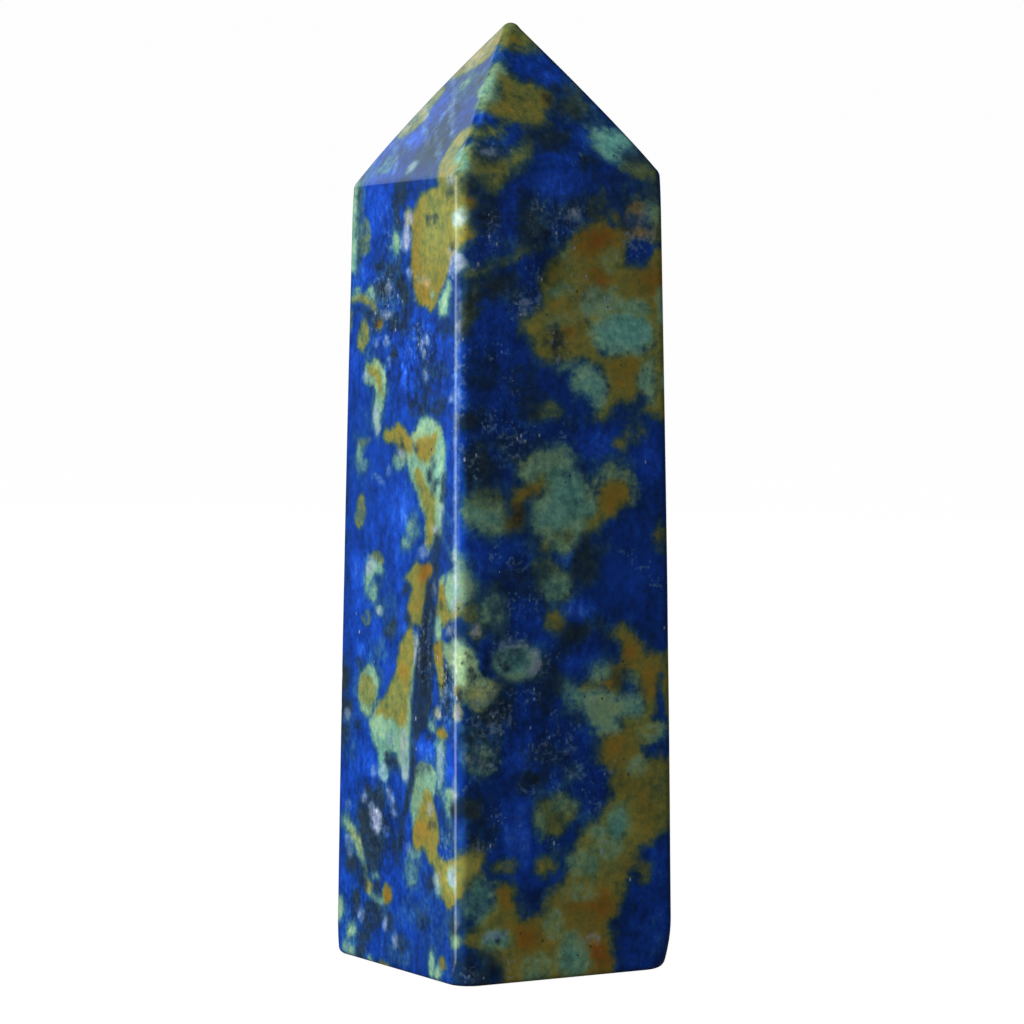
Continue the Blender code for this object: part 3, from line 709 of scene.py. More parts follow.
coat("front", "mint",
    area(-3.6, 74.9, -4.6, 75.2, -6.6, 73, -5.4, 72.6, -4.5, 72.7, -4.1, 73.2, -3.9, 74.4),
    area(-9, 68.6, -10.6, 67.1, -9.4, 66.7, -8.4, 67.6, share=0.85),
    area(3.6, 69.5, 4, 70.5, 5, 70.9, 6.4, 70.9, 7.6, 70.4, 8.4, 69.4, 8.4, 68.9, 7.1, 68.5, 6.3, 67.8, 5.4,
        67.4, 4.5, 67.7, 3.9, 68.5),
    area(2.6, 54, 3.2, 54.6, 4.3, 55, 5.2, 55.3, 6.4, 55.3, 7.4, 55.1, 8.3, 54.4, 10, 54.1, 10, 52.9, 8.3,
        52.5, 7.4, 51.8, 6.3, 51.7, 5.2, 51.6, 4.2, 51.6, 3.2, 52, 2.8, 52.9),
    area(1, 55.8, 1.8, 56.5, 2.6, 57.3, 3.6, 57.5, 4.8, 57.3, 5.2, 56.4, 6.5, 56.1, 8, 56, 9.8, 56.3, 9.9,
        55, 7.8, 54.9, 6, 55.2, 4.5, 55, 3, 54.7, 1.8, 54.9, share=0.8),
    area(0.6, 50.5, 1.4, 51.4, 2.4, 51.1, 3.2, 50.3, 3.9, 49.4, 3.9, 48.2, 3.7, 47.2, 3.1, 46.8, 2.6, 47.8,
        1.9, 48.2, 1.1, 48.5, 0.7, 49.4),
    area(7.4, 50.2, 8.4, 51.1, 10, 51.6, 10.2, 48.3, 9.2, 47.4, 8.3, 47.5, 7.7, 48.4, 7.2, 49.2,
        share=0.85),
    area(-3.4, 43.2, -2.7, 44, -1.6, 44.3, -0.4, 44.3, 0.4, 43.7, 0.6, 42.7, 1.3, 42, 1.5, 41, 2.4, 40.4,
        2.8, 39.5, 2.8, 38.8, 2, 38.4, 1.7, 37.6, 1.1, 36.8, 0.6, 36.1, -0.2, 35.4, -0.8, 35.5, -1.4, 36.3,
        -2.2, 37, -3.1, 37.6, -3.2, 38.8, -2.8, 39.7, -2, 40.3, -1.8, 41, -2.5, 41.8, -3.8, 41.7, -4.3,
        42.4, share=0.95),
    area(2.7, 41.3, 3.5, 42.2, 4.6, 42.4, 5.6, 42, 6.6, 41.5, 7, 40.4, 6.5, 39.2, 6.2, 40.2, 5.6, 41, 4.6,
        41.4, 3.6, 41.1, 3, 40.5, share=0.5),
    area(-9.9, 39.2, -9.4, 40.3, -8.5, 40.3, -7.6, 39.8, -6.6, 39.6, -6.2, 38.8, -6, 37.8, -6.8, 37.1, -7.9,
        37.6, -8.9, 38, -9.8, 38.5, share=0.85),
    area(-11.4, 36.2, -10.2, 35.5, -9.4, 34.3, -8.8, 33.2, -8.9, 31.8, -11.4, 31.8, share=0.9),
    area(-11.4, 28.8, -10, 28.5, -9.2, 27.9, -8.6, 27.1, -8.5, 26.2, -8, 25.4, -7.4, 24.8, -8.2, 24.2, -9.3,
        24.6, -10, 24.9, -11.4, 24.8, soft=0.35),
    area(-10.4, 24.8, -9, 25.5, -7.4, 25.2, -6.7, 24.4, -7.2, 23.4, -8.4, 22.8, -9.6, 23, -10.3, 23.8,
        share=0.95, soft=0.5),
    area(-7.2, 26.7, -6.6, 27.7, -5.6, 27.9, -4.7, 28, -3.8, 27.7, -2.8, 27, -2.5, 26.2, -3.2, 25.3, -4.2,
        25, -5.5, 25.1, -6.6, 25.5, share=0.9, soft=0.6),
    area(-0.5, 24.4, 0.4, 24.5, 0.9, 24, 1.6, 23.8, 2.3, 23.9, 3.2, 24, 4.2, 23.4, 5.2, 23.3, 6.2, 23.4, 7,
        23, 7.4, 22.2, 7.2, 21.5, 6.2, 21.6, 5.2, 21.5, 4.7, 21.1, 5.2, 20.6, 4.8, 20.1, 3.6, 20.1, 2.7,
        20.6, 2.1, 21.3, 1.6, 22, 1.1, 22.6, 0.3, 22.8),
    *ovals((8.6, 63.6, 0.6, 0.5, 0.7), (6.2, 24.5, 0.4, 0.35, 0.8), (-10.1, 63.3, 0.9, 0.7),
        (-0.1, 50.8, 0.8, 0.3, 0.7), (8.7, 63.5, 0.9, 0.8, 0.7), (4.4, 59.5, 0.8, 0.6, 0.45),
        (0.3, 59.7, 0.5, 0.8, 0.4), (-0.4, 57.2, 0.9, 0.3, 0.55), (-0.5, 54.6, 1.4, 0.5, 0.4),
        (-10.1, 59.6, 0.5, 1, 0.7), (-1, 32.6, 1.3, 0.9, 0.6), (-7.1, 30.9, 0.9, 1.1, 0.55),
        (3.2, 25.2, 0.9, 0.65, 0.85), (6.3, 24.6, 0.6, 0.5, 0.6), (8.6, 20, 1.4, 0.6, 0.5),
        (6.9, 17.3, 0.8, 0.6, 0.75), (5, 12.6, 0.9, 1.4, 0.8), (4.2, 10.5, 1.1, 0.9, 0.6),
        (1.4, 9.4, 1.3, 1.1, 0.65), (3.2, 11.9, 0.9, 0.8, 0.5), (1.2, 7.1, 1.6, 0.5, 0.5),
        (-1.4, 4.5, 0.8, 1.3, 0.6), (0.3, 1.8, 1.6, 1.8, 0.7), (-3.2, 1, 1.5, 1.1, 0.5),
        (-7, 3.7, 1.35, 0.7, 0.95, -4), (-0.3, 14.5, 1.1, 0.5, 0.7), (-2.6, 13.1, 0.4, 0.9, 0.6),
        (-8.4, 7, 1.3, 1.5, 0.55), (-8.2, 18.6, 1.3, 1, 0.35)))
coat("front", "ochre",
    area(2.9, 40.8, 3.6, 41.4, 4.6, 41.7, 5.6, 41.3, 6.4, 40.8, 6.5, 40, 6, 39.1, 5.2, 38.5, 4.2, 38.2, 3.6,
        37.7, 3, 36.9, 2.2, 36.7, 1.4, 37.2, 1.5, 38.1, 2.4, 38.6, 2.9, 39.3),
    area(-5.5, 40.2, -4.3, 40.9, -3.3, 41.3, -2.9, 42.1, -2, 42.1, -1.5, 41.2, -2.2, 40.5, -3.4, 40.3, -4.1,
        39.7, -4.1, 38.6, -3.8, 37.6, -4.8, 37.3, -6.3, 37.6, -5.8, 38.3, -5.2, 38.9),
    area(-9, 39.9, -8.9, 40.5, -8.3, 41, -7.3, 40.9, -6.5, 40.4, -6.4, 39.4, -7.2, 39.3, -8.2, 39.5,
        share=0.6),
    *ovals((-0.9, 36.4, 1.6, 0.5, 0.6, 20)))
coat("front", "blue",
    *ovals((6.5, 8.4, 0.7, 0.6), (4.7, 4.1, 0.55, 0.5), (-4, 6.9, 1.1, 1), (7.6, 60.3, 1.3, 0.6, 0.25)))
coat("front", "black",
    area(-8.3, 57.3, -7.4, 58, -5.9, 58.8, -4.7, 58.4, -5.2, 57.4, -6.4, 57.2, -7.4, 56.8, share=0.75),
    area(-11.5, 2.6, -9.8, 2.4, -8.2, 2.6, -7.2, 1.8, -7, 0.4, -7.2, -1.5, -11.5, -1.5, share=0.45),
    streak(-3.6, 64.4, 0.4, -3.7, 62.8, 0.6, -3.2, 61.4, 0.5, share=0.5),
    streak(-7.6, 57.2, 0.5, -8.8, 56.3, 0.5, -9.9, 54.4, 0.45, share=0.6),
    *ovals((-6.9, 68.5, 0.9, 0.5, 0.6), (2.2, 72.8, 1.4, 0.9, 0.4, -30), (-0.5, 69.7, 1.8, 0.8, 0.5),
        (2.7, 67.6, 0.7, 0.5, 0.5), (7.6, 68.2, 1, 0.35, 0.5), (-8.9, 65.9, 0.9, 0.5, 0.5),
        (-7.3, 63.6, 1, 1.3, 0.65), (2.4, 64.2, 1.4, 0.5, 0.3), (-8.2, 50.6, 1.4, 1, 0.25),
        (-4, 49.7, 0.9, 0.8, 0.3), (-0.9, 52.8, 0.65, 0.9, 0.95), (6.7, 62.8, 1, 0.5, 0.7),
        (-3.1, 47.6, 0.9, 0.8, 0.5), (-9.2, 46.4, 1.2, 0.5, 0.8), (-8.4, 42.8, 1, 1.6, 0.5),
        (-4.5, 33.1, 1.7, 0.8, 0.4), (2, 34.4, 0.9, 1.6, 0.55), (-4.7, 38.5, 0.55, 0.7, 0.7),
        (-10.1, 26.8, 0.14, 0.12, 1, 0, 0.15), (-9.3, 26.1, 0.3, 0.18, 1, 0, 0.15),
        (-9.8, 27.6, 0.1, 0.12, 1, 0, 0.15), (-8.9, 25.5, 0.16, 0.1, 1, 0, 0.15),
        (-8.9, 26.4, 0.8, 1.2, 0.1, 0, 0.25), (-8.8, 24, 1.4, 0.9, 0.05, 0, 0.25),
        (-5.5, 27, 1.3, 0.6, 0.35, 0, 0.5), (-5.9, 26, 0.4, 0.3, 0.7, 0, 0.3), (0.8, 28.8, 0.8, 0.6, 0.75),
        (-0.2, 27.5, 0.9, 0.4, 0.4), (-2.2, 24.6, 0.9, 2, 0.45), (-6.6, 23.4, 0.9, 1.4, 0.45),
        (-3.8, 16.6, 1.2, 0.7, 0.7), (-2.4, 18.6, 1.6, 0.6, 0.4), (-9.6, 14.7, 1.1, 0.6, 0.9),
        (-8.3, 12.8, 1.2, 1.2, 0.35), (-6.9, 3.5, 0.24, 0.22, 1, 0, 0.2), (5.3, 24.8, 0.5, 0.5, 0.4)))
coat("front", "pale",
    streak(-3.2, 27.3, 0.3, -2.9, 26.5, 0.4, -3.4, 25.7, 0.3, share=0.35, soft=0.4),
    streak(-6.2, 28, 0.25, -5, 28.3, 0.3, -4, 28.1, 0.2, share=0.3, soft=0.4),
    *ovals((-8.7, 29.3, 0.4, 0.5, 0.6, 0, 0.4), (-7.2, 4, 0.9, 0.22, 0.5, 0, 0.5),
        (7.2, 63.3, 0.8, 0.5, 0.3), (7.6, 61.6, 0.9, 0.4, 0.3), (2.3, 3.2, 0.7, 0.3, 0.45, 0, 0.5),
        (1, 63.2, 0.6, 0.35, 0.4, 0, 0.5), (-6.5, 68.6, 0.6, 0.25, 0.45, 0, 0.5),
        (-3.9, 55.8, 0.6, 0.5, 0.3, 0, 0.6), (0.2, 18.9, 0.5, 0.2, 0.35, 0, 0.4)))
coat("front", "speckle",
    streak(6.2, 34.8, 0.05, 7.7, 33.8, 0.05, share=0.6),
    streak(-6.8, 27.8, 0.35, -5.4, 28.5, 0.4, -3.9, 28.3, 0.3, share=0.5),
    streak(-3.7, 27.4, 0.35, -3, 26.6, 0.4, -3.3, 25.6, 0.3, share=0.5),
    streak(0.3, 16.8, 0.15, 1.3, 17.5, 0.2, share=0.9),
    streak(-1.4, 16.6, 0.12, -1, 16.2, 0.15, -1.1, 15.4, 0.1, share=0.9),
    *ovals((-6.6, 68.6, 1, 0.4, 0.9), (-6.9, 62.7, 0.5, 0.5, 0.9), (-7.2, 61.2, 0.9, 1, 0.6),
        (-2.4, 63.8, 0.7, 0.5, 0.7), (1.1, 63.2, 0.9, 0.6, 0.9), (-1, 62.6, 2, 1.2, 0.35),
        (7.2, 60.6, 0.9, 0.4, 0.7, 40), (7, 61.8, 0.9, 0.5, 0.4), (-8.9, 59.3, 0.6, 0.5, 0.7),
        (-3.7, 56.4, 1.2, 0.8, 0.8), (-4.6, 55.1, 0.7, 0.3, 0.9), (-2.8, 58.4, 0.4, 0.6, 0.7),
        (1.6, 57.8, 0.8, 1, 0.4), (4.2, 55.9, 0.5, 0.4, 0.6), (-1.4, 53.2, 0.3, 0.4, 0.9),
        (-0.7, 52, 0.4, 0.5, 0.9), (0.3, 53.2, 0.4, 0.25, 0.6), (-9.9, 52, 0.4, 0.35, 0.9),
        (-6.6, 52.6, 1.4, 0.9, 0.25), (-7.2, 46.4, 0.9, 0.7, 0.7), (-5.6, 45.6, 0.9, 0.9, 0.6),
        (-4.4, 45, 0.9, 0.5, 0.8), (-5.6, 43.5, 0.8, 0.8, 0.7), (-5.5, 48.5, 0.7, 1.4, 0.35),
        (-0.2, 45.1, 0.4, 0.5, 0.8), (-9.8, 44.4, 0.5, 0.3, 0.6), (-9.2, 42.6, 0.8, 1, 0.4),
        (-4.6, 34.6, 1, 0.5, 0.4), (-6.8, 35.9, 0.5, 0.4, 0.5), (5.9, 35.2, 0.3, 0.2, 0.6),
        (8.8, 32.4, 0.6, 0.15, 0.5), (-3.1, 31.5, 0.35, 0.7, 0.8), (-4.6, 31.2, 0.7, 0.8, 0.6),
        (-2.7, 25.8, 0.5, 0.6, 0.4), (-1.8, 26.6, 0.8, 0.2, 0.5, 20), (-7.4, 22.4, 2.2, 1.6, 0.45),
        (-8.7, 21.2, 0.4, 0.4, 0.95), (-6.8, 21.6, 0.6, 0.5, 0.85), (-5, 23.6, 0.4, 0.5, 0.7),
        (-3.7, 23.6, 0.5, 0.5, 0.6), (-1.7, 21, 0.4, 0.8, 0.75), (-0.2, 20.4, 1, 0.5, 0.4),
        (-8.3, 19, 1.2, 0.9, 0.6), (-7.4, 18.1, 0.6, 0.5, 0.8), (-2.4, 19, 1, 0.4, 0.9, -25),
        (-1.5, 18.5, 0.6, 0.3, 0.8), (0.2, 18.9, 0.6, 0.25, 0.5), (-3.9, 16, 0.35, 0.3, 0.8),
        (2.6, 16, 0.8, 0.4, 0.6, 20), (3.6, 16.6, 0.3, 0.8, 0.5, -20), (2.8, 14.5, 0.7, 0.5, 0.7),
        (-6.8, 13.9, 0.35, 0.5, 0.9), (-1.6, 11.5, 0.4, 0.3, 0.5), (-8.6, 11.6, 1.2, 0.5, 0.6),
        (-9.9, 16.1, 0.4, 0.4, 0.7), (2.4, 3.2, 0.8, 0.4, 0.8), (3.4, 10.6, 0.6, 0.4, 0.4),
        (-6, 1.3, 0.35, 0.5, 0.7), (-9.8, 1.1, 0.3, 0.4, 0.7), (-10.3, 32.4, 0.5, 0.9, 0.7),
        (1.8, 68, 0.4, 0.15, 0.7, 40)))
coat("right", "ochre",
    area(-11.5, 60.2, -9, 60.4, -7.6, 61.5, -6.2, 61.2, -5.6, 59.4, -6.4, 57.6, -5.2, 55.8, -5.4, 53.6, -7,
        52.4, -8.6, 51, -9.4, 48.6, -9.8, 46.2, -11.5, 46),
    area(-11.5, 26.8, -9.8, 27.2, -8.8, 25.8, -9.2, 23.8, -8.4, 22, -9.4, 20.8, -11.5, 21),
    area(-11.5, 18, -10, 18.2, -8.2, 17, -6.8, 17.4, -5.2, 16, -5, 13.8, -6.4, 12.2, -8, 12.4, -9.4, 10.8,
        -11.5, 11.4),
    area(4, 12, 5.8, 13, 7.6, 12.2, 9, 13, 12, 12.4, 12, 6.8, 9.4, 6, 8.2, 7.4, 6, 6.8, 4.2, 8.2, 3.6,
        10.2), area(-1.8, 66, 0, 67.6, 2.4, 68, 4.2, 66.6, 3.6, 64.4, 1.6, 63.2, -0.6, 63.8),
    area(-3.4, 74.4, -2.2, 75.2, -1.8, 73.6, -0.4, 72.4, 0.6, 70.6, -0.6, 69.8, -1.6, 71.4, -3, 71.8),
    area(4.4, 71.2, 5.8, 70.4, 5.2, 68.6, 3.8, 69),
    streak(-6.4, 69.6, 0.3, -4.8, 68.2, 0.5, -3.6, 67.8, 0.3),
    *ovals((2, -3, 3.4, 2.4)))
coat("right", "mint",
    area(-10.8, 57.8, -8.6, 57.2, -7.4, 55.6, -8.4, 54, -10.8, 53.8),
    area(1.8, 74, 2.8, 73.2, 2.2, 71.4, 1, 70.8, 1.2, 72.4),
    *ovals((-8.8, 33.6, 1, 0.7), (8.2, 63, 1.1, 0.8), (1.2, 66.6, 0.8, 0.5, 0.9), (-9.6, 49.4, 1, 1.2),
        (-1.9, 73.4, 0.4, 0.7, 1, 20), (6.2, 67.4, 0.9, 0.4, 1, -30), (2.6, -3.2, 1.2, 1)))
coat("right", "black",
    *ovals((-7, 65.2, 1.4, 0.7, 0.7), (3.4, 70.6, 1, 1.4, 0.7, 40)))
coat("back", "ochre",
    area(-12, 12.2, -9.6, 12.6, -8.2, 11, -8.8, 8.6, -10, 6.6, -12, 6.8),
    area(-1.6, 72.2, -0.2, 73, 1, 72, 2.2, 72.6, 3, 71, 1.6, 69.8, 1.8, 68.2, 0.4, 67.6, -0.2, 69.6),
    area(-5.6, 69.4, -4.2, 70.4, -3.6, 69, -4.6, 67.6, -6, 67.8),
    streak(4.2, 69.6, 0.4, 5.4, 67.8, 0.5, 7, 66.8, 0.3),
    *ovals((7.4, 61.6, 1, 1.3), (-2, -4, 3, 2.2)))
coat("back", "mint",
    area(9.6, 67.2, 12, 67.2, 12, 59, 10.4, 59, 9.2, 61.4, 9, 64.4),
    area(2.4, 66.4, 4.2, 67.4, 6, 66.6, 5.2, 64.8, 3.2, 64.6),
    area(-2.6, 70.6, -1.6, 71.2, -1.8, 69.4, -3, 68.4, -3.4, 69.4),
    *ovals((9.9, 4.2, 0.9, 1.2), (1.4, 75.2, 0.7, 0.5), (6, -3, 1.4, 1.2)))
coat("back", "black",
    *ovals((11, 24.4, 1.5, 1.1), (11, 21.6, 1.5, 1.1), (-4.6, 67, 1.4, 0.7, 0.7)))

# Slow changes of tone, warmth, light, teal and mottling over the faces; the light field holds painted light
# and shade as well as the minerals' own lightness

wash("tone", "left",
    (0, 40, 14, 60, 0.15), (-4.6, 64.6, 2.4, 2, 0.7), (-6.8, 59.2, 2, 1.4, 0.9), (-8.2, 66, 1, 1.2, 0),
    (2.6, 66.2, 3, 0.9, -0.1), (-1.5, 57.5, 4.2, 3.2, -0.25), (-3.6, 60.6, 2, 0.9, 0),
    (4.4, 54.6, 2.2, 1, 0.55), (1.4, 51.2, 2, 1.6, 1), (8, 52, 1.6, 1.2, 0.45), (5.4, 49.8, 3.6, 1.6, 0.1),
    (4.4, 51.6, 0.9, 1.2, -0.4), (-8.2, 51.5, 1.4, 1.8, 0.5), (-8, 45, 1.6, 5, 0.1),
    (-4.6, 43.6, 2.6, 2, 0.35), (-1, 48.4, 2, 2, 0.05), (0.2, 39, 3, 2.2, 1), (-4, 38.4, 2.4, 2, 0.3),
    (8.6, 44, 1, 4, 0.85), (8.4, 38.4, 1.2, 2.4, 0.35), (-7.6, 33.8, 2, 1.8, 0.8), (-9.4, 36, 0.8, 6, -0.2),
    (0.4, 34, 1.6, 2, 0.4), (-3.6, 28.8, 1.8, 0.8, 0.85), (-6.4, 31.4, 1.6, 1.2, 0.6),
    (-6.4, 26.8, 1, 0.7, 0.85), (-1.4, 28.9, 1.4, 0.8, -0.2), (0.8, 29.6, 0.9, 1.4, 0.7),
    (-1.8, 25.4, 1.4, 1.4, 0.55), (-5, 27, 1, 1, 0.3), (-7.6, 22.8, 1, 2, 0.2), (2.6, 23.4, 0.6, 2.2, 0.1),
    (5.4, 29.5, 0.8, 3.4, -0.4), (6.4, 24.4, 0.7, 1.4, 0.4), (8.6, 23.5, 1.4, 2.2, 0),
    (5.2, 19.3, 2, 1.2, 1.15), (8.7, 18.4, 1, 2.2, 0.9), (-5.4, 16.8, 2.2, 1.4, 0.7),
    (-8.2, 18, 1.6, 1.4, 0.2), (1.2, 15.6, 1.2, 1.4, 0.65), (-0.6, 12.6, 1.6, 2.2, -0.35),
    (0.8, 11, 0.9, 2.4, -0.35), (1.8, 12.4, 0.5, 3, 0.35), (-4.4, 11.4, 2.6, 4, -0.6),
    (-7, 14.2, 1.6, 1.2, -0.1), (-8.4, 6.6, 1.2, 1, 0.5), (-8.2, 9.6, 1, 1, 0.9),
    (-8.4, 3.2, 1.4, 0.8, 0.4), (-6, 4.4, 0.8, 1, 0.4), (-3.4, 2, 1.3, 1.3, 0.3), (-8.6, 9, 1.2, 1, -0.2),
    (4, 6.5, 3.4, 2.6, 0.2), (6, 8.4, 0.5, 1, -0.5), (8.6, 3.4, 1.6, 1.4, 0.35), (2.2, 4.3, 0.8, 0.7, 0.7),
    (3, 3.1, 1.4, 0.5, 0.5), (4.2, 7.6, 2, 1.4, 0.45), (9.2, 12.4, 1.4, 1.4, 0.2), (0.5, 1.4, 3, 1.4, -0.1),
    (-7, 69, 1.4, 1.4, 0.5), (-4.6, 69.4, 1, 0.9, 0), (-3.4, 72, 0.9, 1.2, 0.2),
    (-2.2, 70.4, 1.6, 0.9, 1.1), (-1.8, 73, 1.4, 1.1, 0.9), (1.6, 69.4, 2.2, 2, -0.6),
    (2.6, 72.4, 1.2, 1, -0.1), (1.6, 75, 1.6, 1.2, -0.2), (2.4, 77.3, 0.9, 0.8, 0.9),
    (6.4, 71.7, 1, 0.7, 1), (-4.6, 67.8, 1.4, 0.8, 0.7), (3.6, 71, 1.2, 0.8, 0.4))
wash("tone", "front",
    (0, 40, 14, 60, -0.15), (-2.6, 77, 1.2, 0.7, 0.4), (0.2, 76.2, 2.2, 1, 0.3),
    (-6.4, 71.8, 1.2, 0.7, 0.9), (-10.2, 48, 0.7, 6, 0.5), (-9.4, 37, 0.9, 3.6, 0.5),
    (-4.8, 69.8, 1.6, 0.7, 0.3), (1.7, 75, 1.2, 0.6, 0.6), (-0.2, 69.8, 1.8, 1.2, -0.5),
    (2.6, 72.4, 1.8, 1.4, -0.4), (0.4, 68, 2.2, 0.7, 0.3), (3, 70, 0.9, 1.4, 0.4),
    (2.8, 67.8, 0.8, 0.5, -0.4), (-9, 65.8, 1, 0.7, -0.1), (-0.4, 65.8, 2.8, 1.3, 0.6),
    (5, 66, 3, 0.8, -0.1), (-4.9, 63.2, 0.9, 2.6, 0.35), (-2.6, 62.6, 1.6, 1.8, -0.45),
    (1, 63.4, 1.8, 1, -0.45), (-7.2, 61.4, 1, 1.2, 0.2), (5.2, 64.4, 1.4, 0.9, -0.3),
    (9, 65.4, 1, 1.4, -0.4), (-3.4, 58.9, 1.4, 1.4, 0.2), (-6.6, 57.6, 2, 0.9, -0.6),
    (-4, 56.4, 1, 1.2, -0.35), (-6.8, 54.4, 2.2, 2.4, 0.35), (-9.9, 52, 0.5, 1.6, 0.5),
    (-10.2, 44.5, 0.5, 2.4, 0.4), (-3.4, 51.8, 1.6, 1.2, 0.15), (-8, 50.4, 1.4, 1.2, -0.3),
    (-5.4, 49, 1, 2, 0.15), (-9.2, 46.4, 1.2, 0.7, -0.8), (-8.2, 43, 1.4, 1.8, -0.45),
    (-5.4, 44.8, 1.6, 1.6, -0.3), (-0.4, 48.4, 1.4, 1.6, 0), (-0.4, 45.8, 1.6, 0.9, -0.2),
    (3.8, 44.2, 2.4, 1.4, 0.6), (8.4, 43, 1.4, 2.2, 0.5), (6.4, 47.2, 1.6, 0.8, -0.2),
    (7.6, 60.3, 1.4, 0.8, 0.1), (0, 34.9, 1, 0.8, 0.8), (6.4, 33.6, 3, 2.2, 0.3), (-7.8, 35.2, 2, 2, 0.45),
    (-5.2, 36, 1.2, 0.7, 0.35), (-10.3, 37.5, 0.6, 1.6, 0.8), (-5.4, 33.4, 1.6, 0.9, -0.3),
    (2, 34.4, 1.1, 1.8, -0.5), (-3.8, 30.2, 1.8, 1.5, 0.35), (-2.2, 28.2, 1.2, 1.2, 0.1),
    (1.3, 30.6, 1.7, 0.8, 0.95), (0.8, 28.8, 1.2, 0.8, -0.6), (1.6, 26.4, 2.4, 1.1, 0.4),
    (-7.2, 29.4, 1, 1.4, -0.35), (-1.8, 25.2, 1, 2, -0.6), (-4.8, 23.6, 0.8, 1.6, 0.15),
    (-0.6, 22.6, 1.2, 1.6, 0), (-7.4, 22, 2, 2.4, -0.55), (-8.6, 19.2, 1.6, 1.6, -0.35),
    (-4.6, 19, 1.3, 1.6, 0.7), (9.4, 22.6, 0.6, 1.8, 0.4), (1.9, 19.6, 0.9, 1.2, 0.25),
    (-0.6, 19, 2, 1, -0.35), (-9.4, 17.4, 0.9, 0.8, 0.3), (-10.4, 18.5, 0.6, 2.4, 0.8),
    (-3.4, 16.7, 1.4, 0.8, -0.5), (-1.8, 16, 0.9, 0.8, 0.5), (2.6, 16.4, 1.6, 1.2, 0.2),
    (-4.8, 12.6, 1.7, 3.4, 1), (-7.8, 14.6, 1.2, 1.8, -0.25), (-7.6, 11.6, 0.8, 1, -0.2),
    (-2.6, 10.6, 1.2, 0.8, 0.4), (-3, 8.7, 2.2, 0.6, 0.35), (-10.3, 12.8, 0.6, 1.8, 0.7),
    (1.6, 13.6, 1, 1.6, 0.15), (-0.4, 11.4, 0.9, 1, -0.1), (8.6, 3.6, 2, 3.4, 0.2),
    (8.8, 9.6, 1.3, 1.4, 0.3), (-4, 6.9, 1.2, 1, -0.4), (-8.4, 0.8, 2.8, 1.8, -0.45))
wash("warmth", "left",
    (0, 40, 14, 60, -0.15), (9.6, 27, 1.6, 2, 0.3), (-2.5, 17, 0.9, 1, -1), (7.4, 18.2, 0.7, 1.8, -0.9),
    (-6.8, 10, 2, 1.6, 0.35), (2.3, 60.5, 1.2, 3.6, 0.45), (3.8, 57.2, 2.6, 1, 0.5),
    (6.4, 57.8, 0.9, 1.2, 0.45), (6, 62.5, 2.4, 2.6, -0.5), (7.5, 66.2, 2.4, 1.2, -0.2),
    (-6.4, 62.4, 1.2, 2.2, -0.8), (-9, 63, 1, 4, -0.2), (-4, 54.8, 0.9, 0.6, 0.6),
    (-6.7, 53.7, 1.4, 1.6, -0.4), (0, 45.3, 2.6, 1, 0.3), (4.9, 44.5, 2, 1.1, 0.45),
    (6.5, 42.8, 1.2, 1.6, -0.35), (5, 38.5, 1.2, 2.6, -0.1), (5, 34, 1.2, 0.9, 1),
    (3, 31.5, 1.2, 1.2, 0.25), (1.4, 27, 1.3, 3, -0.1), (1.1, 25.2, 0.7, 0.8, 0.3),
    (-0.6, 23, 2.4, 1, -0.45), (-1.2, 19.6, 2.6, 1.8, -0.5), (1.4, 19, 0.9, 1.6, 0.1),
    (-2.8, 22, 1.4, 1, -0.2), (6.9, 27.6, 0.9, 0.9, 0.7), (7.8, 20.8, 1, 0.6, 0.6),
    (7.4, 32.2, 0.8, 1.2, 0.35), (-2.3, 17, 1, 1, -0.8), (7.4, 17.6, 0.8, 1.8, -0.8),
    (4.4, 12.2, 1.8, 1, 0.55), (9.2, 7.1, 0.9, 0.8, 0.4), (9, 9, 1.4, 1.2, -0.35),
    (5.2, 16.4, 1.8, 1.2, -0.3), (-4.8, 6.6, 0.9, 0.7, 0.5), (-1.3, 6.2, 0.8, 0.9, 0.95),
    (-2.6, 6.2, 0.4, 0.8, -0.3), (8.1, 1.7, 0.7, 0.6, 0.8), (-6.8, 23.5, 0.6, 1, 0.3),
    (0, 79.5, 2, 1.2, -0.4), (-3, 20.8, 1.5, 1.3, 0.1), (4.8, 33.9, 1.3, 0.9, 1.3),
    (4.2, 12.3, 1.3, 0.9, 0.8))
